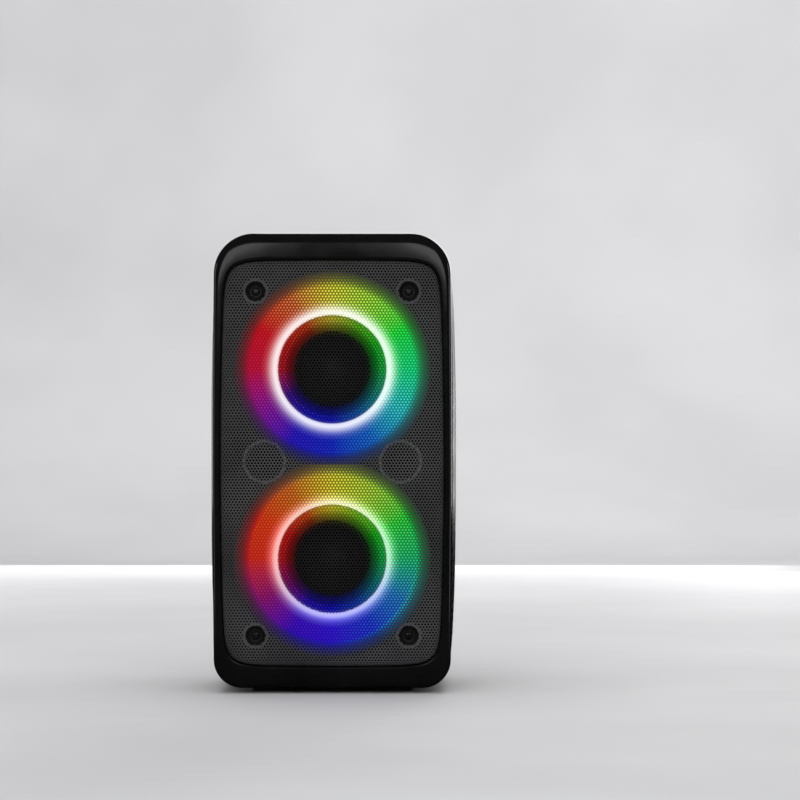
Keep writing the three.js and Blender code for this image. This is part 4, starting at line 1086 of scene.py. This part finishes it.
def make_shell():
    """The hollow box, cut for the cheeks, the frame, the rear panel, the cup and the keys."""
    depths = [BEZEL_BACK_Y + GAP, -20, 10, 30, *np.linspace(34, SHELL_BACK_Y, 16)]
    body = skin("shell", [cabinet_ring(y) for y in depths])
    cavity_plan = [(-SEAT_HALF_W + SHELL_WALL, -90), (SEAT_HALF_W - SHELL_WALL, -90),
                   (SEAT_HALF_W - SHELL_WALL, SEAT_BEND_Y - 1),
                   (SEAT_BACK_HALF_W - 1.2, PANEL_SEAT_Y - SHELL_WALL),
                   (-SEAT_BACK_HALF_W + 1.2, PANEL_SEAT_Y - SHELL_WALL),
                   (-SEAT_HALF_W + SHELL_WALL, SEAT_BEND_Y - 1)]
    cavity = prism_z("cavity", np.array(cavity_plan, float), 0, ABOVE)
    limit = prism_y("limit", cabinet_outline(SHELL_WALL), -100, 100)
    combine(cavity, [limit], "INTERSECT")

    def seat(side):
        plan = [(SEAT_HALF_W, -100), (130, -100), (130, 100), (SEAT_BACK_HALF_W, 100),
                (SEAT_BACK_HALF_W, PANEL_SEAT_Y), (SEAT_HALF_W, SEAT_BEND_Y)]
        return prism_z("seat", np.array(plan, float) * (side, 1), CHEEK_BOTTOM - GAP, CHEEK_TOP + GAP)

    def groove(side):
        x, z = FRAME_HALF_W - FRAME_R, BACK_TOP_Z - FRAME_R - 0.6
        inner, outer = FRAME_R - 2, FRAME_R + 3.2
        ring = turned("groove", [(inner, 48), (outer, 48), (outer, 62), (inner, 62)], x * side, z, 96)
        left, right = sorted((side * (x + 2), side * (x + 60)))
        return combine(ring, [block("quadrant", (left, 40, z + 1), (right, 70, ABOVE))], "INTERSECT")

    cup = CUP_WALL + GAP
    tools = [
        cavity, *(make(side) for make in (seat, groove) for side in (1, -1)),
        prism_y("panel_seat", round_rect(-FRAME_IN_HALF_W, FRAME_IN_HALF_W, FRAME_IN_BOTTOM, FRAME_IN_TOP,
                                         FRAME_IN_R), PANEL_SEAT_Y, BEHIND),
        prism_y("rear_window", round_rect(-53, 53, 30, 281, 6), 40, BEHIND),
        block("cup_window", (-POCKET_HALF_W - cup, 0, POCKET_BOTTOM - cup),
              (POCKET_HALF_W + cup, BEHIND, CUP_TOP + cup)),
        prism_z("top_seat", round_rect(-KEYPAD_HALF_W, KEYPAD_HALF_W, KEYPAD_FRONT, KEYPAD_BACK, 8),
                HEIGHT - KEYPAD_SEAT, ABOVE),
        *key_holes(KEY_R + 1.6),
    ]
    combine(body, tools)
    place_piece(smooth(body, 30), SATIN, "satin_black", "cabinet_shell")


# ---------------------------------------------------------------- rear
def frame_cut(x, y, z):
    """Holds the frame's side clear of the dimples, which run out across it."""
    nearest = np.array(DIMPLE_ZS)[np.argmin(np.abs(z[:, None] - np.array(DIMPLE_ZS)), 1)]
    dz = z - nearest
    far = y - DIMPLE_Y
    wide = math.sqrt(2) * DIMPLE_R
    limit = DIMPLE_X + (dz ** 2 - DIMPLE_R ** 2 - wide * far) / (2 * far + wide)
    reach = soft_min(np.abs(x), limit, 0.5)
    held = np.minimum(reach + 0.03, np.abs(x))
    return np.sign(x) * np.where(np.abs(x) > FRAME_IN_HALF_W + 1, held, np.abs(x))


def make_rear_frame():
    def straight(start, end, count):
        t = np.linspace(0, 1, count + 2)[1:-1, None]
        return np.array(start) * (1 - t) + np.array(end) * t

    def outline(half, bottom, top, radius):
        """Many points up the sides, where the dimples run out."""
        x, low, high = half - radius, bottom + radius, top - radius
        right = straight((half, low), (half, high), 238)
        return np.concatenate([
            straight((-x, bottom), (x, bottom), 22), arc(x, low, radius, -90, 0, 20), right,
            arc(x, high, radius, 0, 90, 20), straight((x, top), (-x, top), 22),
            arc(-x, high, radius, 90, 180, 20), right[::-1] * (-1, 1),
            arc(-x, low, radius, 180, 270, 20)])

    outer = outline(FRAME_HALF_W, FRAME_BOTTOM, BACK_TOP_Z - 0.6, FRAME_R)
    inner = outline(FRAME_IN_HALF_W, FRAME_IN_BOTTOM, FRAME_IN_TOP, FRAME_IN_R)
    above = np.clip((inner[:, 1] - (FRAME_IN_TOP - FRAME_IN_R)) / FRAME_IN_R, 0, 1)
    under = 1.0 + 7.6 * (above * above * (3 - 2 * above))
    face = grown(inner, under)
    rise = 9.0
    wall = BACK_Y - rise
    rings = [in_xz(outer, y) for y in np.linspace(BAR_FRONT_Y, wall, 12)]
    for share in np.linspace(0, 1, 15)[1:] ** 1.7:
        depth = rise * math.sqrt(1 - (1 - share) ** 2.3)
        rings.append(in_xz(outer * (1 - share) + face * share, wall + depth))
    for step in (0.12, 0.35, 0.65, 1.0):
        ring = face * (1 - step) + inner * step
        fall = (0.8 + (under - 1.0) * 0.75) * step ** 1.3
        rings.append(np.column_stack([ring[:, 0], BACK_Y - fall, ring[:, 1]]))
    rings.append(in_xz(inner, BAR_FRONT_Y + 3))
    rings.append(in_xz(inner, BAR_FRONT_Y))
    for ring in rings:
        ring[:, 0] = frame_cut(ring[:, 0], ring[:, 1], ring[:, 2])
    frame_piece = skin("rear_frame", rings, closed=True)
    # the sloped bar under the frame, between two small blocks
    low_z = FRAME_BOTTOM - 1
    notch = skin("notch", [in_xz(np.array([(-w, low_z), (w, low_z), (w, top), (-w, top)], float), y)
                           for w, top, y in ((33, 11.5, 72), (32, 5.6, 62))])
    lines = [block("line", (x - 0.35, 60, low_z), (x + 0.35, 72, 10.5)) for x in (-45.6, 45.6)]
    combine(frame_piece, [notch, *lines])
    place_piece(smooth(frame_piece, 45), FRAME_LOOK, "gloss_black", "rear_frame")


def panel_height(x, z):
    """The rear panel's face: a raised middle, a slope at the foot and a curved groove above it."""
    step = np.clip((RAISED_HALF_W - np.abs(x)) / RAISED_STEP, 0, 1)
    step = step * step * (3 - 2 * step)
    fade = np.clip((z - CHAMFER_TOP) / 4, 0, 1)
    y = PANEL_Y + (RAISED_Y - PANEL_Y) * step * fade + (RAISED_Y - PANEL_Y) * (1 - fade)
    foot = np.clip((CHAMFER_TOP - z) / (CHAMFER_TOP - PANEL_BOTTOM), 0, 1)
    curve = 47.2 + 2.6 * (x / 40) ** 2
    groove = 3.0 * np.exp(-((z - curve) / 0.9) ** 6) * np.exp(-(x / 40.2) ** 60)
    return y - 7.5 * foot ** 1.15 - groove


def make_rear_panel():
    half, top = FRAME_IN_HALF_W - GAP - 0.2, FRAME_IN_TOP - GAP - 0.2
    step = np.linspace(RAISED_HALF_W - 3.2, RAISED_HALF_W + 0.6, 14)
    xs = np.unique(np.concatenate([np.linspace(-half, half, 70), step, -step]))
    zs = np.unique(np.concatenate([np.linspace(PANEL_BOTTOM, 54, 80), np.linspace(54, top, 60)]))
    x, z = np.meshgrid(xs, zs)
    front = np.stack([x, panel_height(x, z), z], 2).reshape(-1, 3)
    rear = front.copy()
    rear[:, 1] = PANEL_SEAT_Y + GAP
    wide, tall, count = len(xs), len(zs), len(front)
    faces = []
    for j in range(tall - 1):
        for i in range(wide - 1):
            k = j * wide + i
            faces.append((k, k + 1, k + 1 + wide, k + wide))
            faces.append((k + count, k + wide + count, k + 1 + wide + count, k + 1 + count))
    edge = [*range(wide), *(j * wide + wide - 1 for j in range(1, tall)),
            *((tall - 1) * wide + i for i in range(wide - 2, -1, -1)),
            *(j * wide for j in range(tall - 2, 0, -1))]
    for a, b in zip(edge, edge[1:] + edge[:1]):
        faces.append((a, b, b + count, a + count))
    panel = face_out(new_object("rear_panel_skin", np.concatenate([front, rear]), faces))
    trim = round_rect(-half, half, PANEL_BOTTOM - 5, top, FRAME_IN_R - 0.5, 3)
    combine(panel, [prism_y("trim", trim, 0, 100)], "INTERSECT")
    posts = [rod_y("post", side * (AMP_HALF_W - 6), height, 3, AMP_Y + 1.9, PANEL_SEAT_Y + 2, 24)
             for side in (-1, 1) for height in (AMP_BOTTOM + 6, AMP_TOP - 6)]
    combine(panel, posts, "UNION")
    cuts = [
        prism_y("pocket", round_rect(-POCKET_HALF_W, POCKET_HALF_W, POCKET_BOTTOM, 320, POCKET_R), 0, 100),
        prism_y("io_seat", stadium(IO_HALF_W + GAP, IO_HALF_H + GAP), IO_FACE_Y - IO_T - GAP, 100),
        block("io_window", (-12, 0, IO_Z - 31), (9.6, 100, IO_Z + 30)),
        *(rod_y("bore", x, IO_Z + z, 1.3, 0, 100, 20) for x, z in IO_SCREWS),
    ]
    combine(panel, cuts)
    place_piece(smooth(panel, 32), SATIN, "satin_black", "rear_panel")


def stadium(half_w, half_h):
    """The connector plate's outline, or that of a seat round it."""
    return round_rect(-half_w, half_w, IO_Z - half_h, IO_Z + half_h, half_w - 0.01)


def make_handle_cup():
    outer = block("cup", (-POCKET_HALF_W - CUP_WALL, CUP_BACK_Y - CUP_WALL, POCKET_BOTTOM - CUP_WALL),
                  (POCKET_HALF_W + CUP_WALL, PANEL_SEAT_Y, CUP_TOP + CUP_WALL))
    room = [in_xz(round_rect(-POCKET_HALF_W + inset, POCKET_HALF_W - inset, POCKET_BOTTOM + inset,
                             CUP_TOP - inset, POCKET_R - inset), y)
            for inset, y in ((4.0, CUP_BACK_Y), (2.4, CUP_BACK_Y + 0.4), (1.1, CUP_BACK_Y + 1.4),
                             (0.3, CUP_BACK_Y + 2.8), (0, CUP_BACK_Y + 4), (0, BEHIND))]
    combine(outer, [skin("cup_room", room)])
    plate = round_rect(-CUP_PLATE_HALF_W, CUP_PLATE_HALF_W, CUP_PLATE_BOTTOM, CUP_PLATE_TOP, 4)
    rings = [in_xz(plate, CUP_BACK_Y - 1), in_xz(plate, CUP_PLATE_Y - 0.8),
             in_xz(grown(plate, -0.3), CUP_PLATE_Y - 0.2), in_xz(grown(plate, -0.9), CUP_PLATE_Y)]
    vent = skin("cup_plate", rings)
    slots = []
    for i in range(SLOT_COUNT):
        x = (i - (SLOT_COUNT - 1) / 2) * SLOT_PITCH
        outline = round_rect(x - SLOT_HALF_W, x + SLOT_HALF_W, SLOT_BOTTOM, SLOT_TOP, 0.6)
        slots.append(prism_y("slot", outline, CUP_PLATE_Y - 3, BEHIND))
    combine(vent, slots)
    place_piece(smooth(outer, 32), CHEEK, "satin_black", "handle_cup")
    place_piece(smooth(vent, 32), TEXTURED, "satin_black", "handle_cup")


# ---------------------------------------------------------------- connector panel
def io_block(place, y0, y1, spare=0.0, radius=0.0):
    """A round-cornered block at a place on the connector panel, larger by spare all round."""
    x, z, w, h = place
    outline = round_rect(x - w / 2 - spare, x + w / 2 + spare, IO_Z + z - h / 2 - spare,
                         IO_Z + z + h / 2 + spare, max(radius, 0.02))
    return prism_y("io", outline, y0, y1)


def make_connector_panel():
    rim = ((0.7, IO_FACE_Y - IO_T), (0.7, IO_FACE_Y - 0.6), (0.85, IO_FACE_Y - 0.2), (1.2, IO_FACE_Y))
    plate = skin("io_plate", [in_xz(stadium(IO_HALF_W - inset, IO_HALF_H - inset), y) for inset, y in rim])
    x, z = POWER[:2]
    ring = [(0.0, IO_FACE_Y - 2), (5.2, IO_FACE_Y - 2), (5.2, IO_FACE_Y + 0.5), (5.0, IO_FACE_Y + 0.7),
            (4.0, IO_FACE_Y + 0.7), (0.0, IO_FACE_Y + 0.7)]
    combine(plate, [turned("ring", ring, x, IO_Z + z, 64)], "UNION")
    tools = [
        rod_y("hole", POWER[0], IO_Z + POWER[1], POWER[2] + 0.4, 0, BEHIND),
        rod_y("mouth", POWER[0], IO_Z + POWER[1], POWER[2] + 1.1, IO_FACE_Y - 1.7, BEHIND),
        rod_y("hole", MODE[0], IO_Z + MODE[1], MODE[2] + 0.35, 0, BEHIND),
        rod_y("hole", AUX[0], IO_Z + AUX[1], AUX_BARREL_R + GAP, 0, BEHIND),
        rod_y("hole", CHARGE[0], IO_Z + CHARGE[1], CHARGE[2] + 0.25, 0, BEHIND, 24),
        io_block(USB_A, 0, BEHIND, GAP, 0.5), io_block(CARD, 0, BEHIND, GAP, 0.4),
        io_block(USB_C, 0, BEHIND, GAP, USB_C[2] / 2),
        *(rod_y("bore", sx, IO_Z + sz, 1.3, 0, BEHIND, 24) for sx, sz in IO_SCREWS),
        *(rod_y("sink", sx, IO_Z + sz, 2.4, IO_FACE_Y - IO_SINK, BEHIND, 32) for sx, sz in IO_SCREWS),
    ]
    combine(plate, tools)
    place_piece(smooth(plate, 30), IO_PLASTIC, "satin_black", "connector_panel")
    for number, (sx, sz) in enumerate(IO_SCREWS, 1):
        head_y = IO_FACE_Y - IO_SINK + GAP + SCREW_HEAD_T
        piece = screw(f"panel_screw_head_{number}", sx, IO_Z + sz, head_y, 2.0, 1.0, 8, 1)
        place_piece(piece, DARK_STEEL, "dark_steel", f"panel_screw_{number}")


def receptacle(name, place, face_y, wall, tongue, radius, node, look):
    """A metal shell with its contact tongue."""
    shell = io_block(place, JACK_BACK_Y, face_y, 0.0, radius)
    shell.name = name
    combine(shell, [io_block(place, JACK_BACK_Y + 2, BEHIND, -wall, max(radius - wall, 0.1))])
    place_piece(smooth(shell, 30), STEEL, "steel", node)
    x, z = place[:2]
    w, h = tongue
    blade = io_block((x, z, w, h), JACK_BACK_Y + 1.5, face_y - 1.2, 0.0, 0.1)
    blade.name = f"{name}_tongue"
    bevel(blade, 0.08, 2)
    place_piece(smooth(blade, 30), look, "steel", node)
    count = max(2, int(h / 1.9))
    contacts = []
    for k in range(count):
        height = IO_Z + z + (k - (count - 1) / 2) * h / (count + 0.6)
        contacts.append(block("contact", (x + w / 2 - 0.02, face_y - 8, height - 0.28),
                              (x + w / 2 + 0.07, face_y - 1.9, height + 0.28)))
    pads = contacts.pop()
    pads.name = f"{name}_contacts"
    combine(pads, contacts, "UNION")
    place_piece(pads, GOLD, "steel", node)


def make_ports():
    receptacle("usb_a", USB_A, IO_FACE_Y - 0.4, 0.5, (1.9, 11.0), 0.5, "usb_a_port", IVORY)
    receptacle("card", CARD, IO_FACE_Y - 0.6, 0.3, (0.3, 12.0), 0.4, "memory_card_slot", MATT)
    receptacle("usb_c", USB_C, IO_FACE_Y - 0.4, 0.35, (0.7, 6.6), USB_C[2] / 2 - 0.01, "usb_c_port", MATT)
    x, z, bore = AUX
    barrel_profile = rounded([(bore, JACK_BACK_Y), (bore, IO_FACE_Y), (bore + 0.25, IO_FACE_Y + 0.3),
                              (AUX_BARREL_R - 0.3, IO_FACE_Y + 0.3), (AUX_BARREL_R, IO_FACE_Y),
                              (AUX_BARREL_R, JACK_BACK_Y)], 0.12, 2)
    aux_barrel = turned("aux_barrel", barrel_profile, x, IO_Z + z, 48)
    place_piece(smooth(aux_barrel, 35), MATT, "matt_black", "aux_jack")
    contact = [(bore - 0.25, IO_FACE_Y - 9), (bore - 0.25, IO_FACE_Y - 2.2), (bore - 0.02, IO_FACE_Y - 2.2),
               (bore - 0.02, IO_FACE_Y - 9)]
    place_piece(smooth(turned("aux_sleeve", contact, x, IO_Z + z, 32)), STEEL, "matt_black", "aux_jack")


def make_buttons():
    for node, (x, z, r), cap_y, look, slot in (
            ("power_button", POWER, IO_FACE_Y + 1.6, GREY, "button_grey"),
            ("mode_button", MODE, IO_FACE_Y + 1.0, SATIN, "satin_black")):
        back = IO_FACE_Y - IO_T
        profile = [(0.0, cap_y - 0.25), (r * 0.45, cap_y - 0.2), (r * 0.72, cap_y - 0.04), (r - 0.5, cap_y),
                   (r - 0.15, cap_y - 0.12), (r, cap_y - 0.45), (r, back - GAP), (r + 1.3, back - GAP),
                   (r + 1.3, back - 1.5), (r, back - 1.5), (r, BUTTON_BACK_Y),
                   (0.0, BUTTON_BACK_Y)]
        cap = smooth(turned(f"{node}_cap", profile, x, IO_Z + z, 56), 35)
        place_piece(cap, look, slot, node, body=node)


# ---------------------------------------------------------------- top controls and feet
def make_top_panel():
    z0 = HEIGHT - KEYPAD_SEAT + GAP
    outline = round_rect(-KEYPAD_HALF_W + GAP, KEYPAD_HALF_W - GAP, KEYPAD_FRONT + GAP,
                         KEYPAD_BACK - GAP, 7.7)
    rings = [in_xy(outline, z0), in_xy(outline, z0 + 1.3), in_xy(grown(outline, -0.2), z0 + 1.68),
             in_xy(grown(outline, -0.6), z0 + 1.8)]
    plate = skin("control_plate", rings)
    combine(plate, key_holes(KEY_R + 0.35))
    place_piece(smooth(plate, 30), TEXTURED, "satin_black", "top_panel")


def key_mark(name, x):
    """A small raised sign: bars for volume, arrowheads for the rest."""
    z0, z1 = HEIGHT - 0.35, HEIGHT + 0.16

    def bar(w, d):
        return block("bar", (x - w / 2, KEY_Y - d / 2, z0), (x + w / 2, KEY_Y + d / 2, z1))

    def arrow(shift, way):
        points = [(x + shift - way * 1.3, KEY_Y - 1.7), (x + shift + way * 1.5, KEY_Y),
                  (x + shift - way * 1.3, KEY_Y + 1.7)]
        return prism_z("arrow", np.array(points, float), z0, z1)

    def post(shift):
        return block("post", (x + shift - 0.3, KEY_Y - 1.7, z0), (x + shift + 0.3, KEY_Y + 1.7, z1))

    return {
        "previous_key": lambda: [arrow(0.3, -1), post(-1.7)],
        "volume_down_key": lambda: [bar(4.0, 0.7)],
        "play_key": lambda: [arrow(-0.8, 1), post(1.3), post(2.4)],
        "volume_up_key": lambda: [bar(4.0, 0.7), bar(0.7, 4.0)],
        "next_key": lambda: [arrow(-0.3, 1), post(1.7)],
    }[name]()


def make_keys():
    top, collar = HEIGHT + 0.2, HEIGHT - KEYPAD_SEAT - 0.2
    for name, x in zip(KEY_NAMES, KEY_XS):
        outline = [(0.0, top - 0.45), (2.0, top - 0.42), (4.2, top - 0.2), (5.3, top - 0.02), (5.6, top),
                   (5.86, top - 0.12), (KEY_R, top - 0.4), (KEY_R, collar), (KEY_R + 1.1, collar),
                   (KEY_R + 1.1, KEY_FLANGE_Z), (KEY_R, KEY_FLANGE_Z), (KEY_R, KEY_STEM_Z),
                   (0.0, KEY_STEM_Z)]
        angles = np.linspace(0, TAU, 56, endpoint=False)
        rings = [np.stack([x + max(r, 1e-4) * np.cos(angles), KEY_Y + max(r, 1e-4) * np.sin(angles),
                           np.full(56, z)], 1) for r, z in outline]
        cap = smooth(skin(f"{name}_cap", rings), 35)
        place_piece(cap, RUBBER, "rubber", name, body=name)
        marks = key_mark(name, x)
        mark = marks.pop()
        mark.name = f"{name}_sign"
        if marks:
            combine(mark, marks, "UNION")
        place_piece(mark, MARK, "rubber", name, body=name)


def make_feet():
    for place, x, y in (("front_left", -FOOT_X, FOOT_FRONT_Y), ("front_right", FOOT_X, FOOT_FRONT_Y),
                        ("rear_left", -FOOT_X, FOOT_BACK_Y), ("rear_right", FOOT_X, FOOT_BACK_Y)):
        side = math.copysign(1, x)
        rings = []
        for z, inset in ((0.0, 0.5), (0.15, 0.15), (0.5, 0.0), (FOOT_H - 0.2, 0.0), (FOOT_H, 0.1)):
            slant = 3 * (1 - z / FOOT_H)
            low, high = -FOOT_W / 2 + (slant if side > 0 else 0), FOOT_W / 2 - (slant if side < 0 else 0)
            rings.append(in_xy(round_rect(x + low + inset, x + high - inset, y - FOOT_D / 2 + inset,
                                          y + FOOT_D / 2 - inset, 1.6), z))
        place_piece(smooth(skin(f"{place}_pad", rings), 40), RUBBER, "rubber", f"{place}_foot")


make_bezel()
make_grille()
make_grille_screws()
for which, driver_z in DRIVERS.items():
    make_cone(which, driver_z)
    make_suspension(which, driver_z)
    make_light_ring(which, driver_z)
for side in (1, -1):
    make_cheek(side)
make_shell()
make_rear_frame()
make_rear_panel()
make_handle_cup()
make_connector_panel()
make_ports()
make_buttons()
make_top_panel()
make_keys()
make_feet()

# ---------------------------------------------------------------- CAD nodes that stay
NODE_LOOKS = {
    "front_baffle": BAFFLE_LIT, "port": PORT, "lead": RUBBER, "lamp": LENS, "battery": WRAP,
    "basket": DARK_STEEL, "magnet": FERRITE, "yoke": STEEL, "coil": COPPER, "board": BOARD,
}
for node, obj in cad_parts.items():
    if obj.hide_render:
        continue
    look = next((made for word, made in NODE_LOOKS.items() if word in node), SATIN)
    dress(obj, look)


# ---------------------------------------------------------------- stage, light and camera
def stage():
    """A pale floor that sweeps up into a backdrop."""
    start, radius = 1.6, 1.0         # where the sweep starts, behind the part, and its radius, in metres
    path = [(-4.0, 0.0), (start, 0.0)]
    path += [(start + radius * math.sin(a), radius - radius * math.cos(a))
             for a in np.linspace(0.1, math.pi / 2, 16)]
    path += [(start + radius, 4.0)]
    points, faces = [], []
    for y, z in path:
        points += [(-6000, y * 1000, z * 1000), (6000, y * 1000, z * 1000)]
    for k in range(len(path) - 1):
        faces.append((2 * k, 2 * k + 1, 2 * k + 3, 2 * k + 2))
    floor = new_object("stage_floor", points, faces)
    floor.data.shade_smooth()
    n = Nodes("pale_floor")
    cloud = n.spread(n.noise(3.0), 0.0, 1.0)
    n.feed(roughness=0.7, base_color=n.mix(cloud, (0.62, 0.62, 0.63), (0.68, 0.68, 0.69)))
    dress(floor, n.finish())
    floor.visible_glossy = False


def area_light(name, place, target, width, height, power, shine=True):
    data = bpy.data.lights.new(name, "AREA")
    data.shape = "RECTANGLE"
    data.size, data.size_y = width, height
    data.energy = power
    lamp = into_scene(name, data)
    lamp.location = place
    lamp.rotation_euler = (Vector(target) - Vector(place)).to_track_quat("-Z", "Y").to_euler()
    lamp.visible_camera = False
    lamp.visible_glossy = shine


def lights():
    world = bpy.data.worlds.new("studio")
    scene.world = world
    world.use_nodes = True
    world.node_tree.nodes["Background"].inputs["Color"].default_value = (0.83, 0.83, 0.84, 1.0)
    world.node_tree.nodes["Background"].inputs["Strength"].default_value = 0.45
    world.cycles_visibility.glossy = False
    middle = (0.0, 0.0, 0.16)
    area_light("overhead", (0.0, -0.2, 2.2), middle, 1.8, 1.8, 20, shine=False)
    area_light("front_fill", (-0.5, -2.5, 1.2), middle, 1.2, 1.2, 10, shine=False)
    area_light("rear_fill", (0.4, 2.6, 1.0), middle, 1.2, 1.2, 13)
    area_light("backdrop_wash", (0.0, 1.0, 2.6), (0.0, 2.8, 0.6), 2.4, 0.6, 20, shine=False)
    area_light("wall_wash", (0.0, 0.9, 2.0), (0.0, 2.6, 2.0), 2.4, 0.6, 10, shine=False)
    # softboxes seen only as reflections in the rims
    area_light("left_box", (-0.33, -1.27, 0.60), (-0.05, 0.0, 0.22), 0.46, 0.5, 1.2)
    area_light("right_box", (0.28, -1.27, 0.60), (0.05, 0.0, 0.22), 0.46, 0.5, 1.2)
    area_light("right_back_box", (0.50, 1.27, 0.56), (0.07, 0.0, 0.3), 0.3, 1.0, 1.6)
    area_light("left_back_box", (-0.50, 1.27, 0.56), (-0.07, 0.0, 0.3), 0.3, 1.0, 0.8)
    area_light("low_box", (0.0, 1.5, 0.10), (0.0, 0.06, 0.1), 1.0, 0.14, 1.6, shine=False)
    area_light("right_side_box", (1.60, 0.28, 0.36), (0.08, 0.0, 0.16), 0.5, 0.9, 2.4)
    area_light("left_side_box", (-1.60, 0.28, 0.36), (-0.08, 0.0, 0.16), 0.5, 0.9, 1.8)


def camera():
    distance = 2.0
    view_width = 0.538
    across, height = 0.0457, 0.1977
    data = bpy.data.cameras.new("camera")
    data.sensor_width = 36.0
    data.lens = data.sensor_width * distance / view_width
    data.dof.use_dof = False
    cam = into_scene("camera", data)
    cam.location = (across, FRONT_Y * MM - distance, height)
    cam.rotation_euler = (math.pi / 2, 0.0, 0.0)
    scene.camera = cam


stage()
lights()
camera()
scene.view_settings.view_transform = "Standard"

bpy.context.view_layer.update()
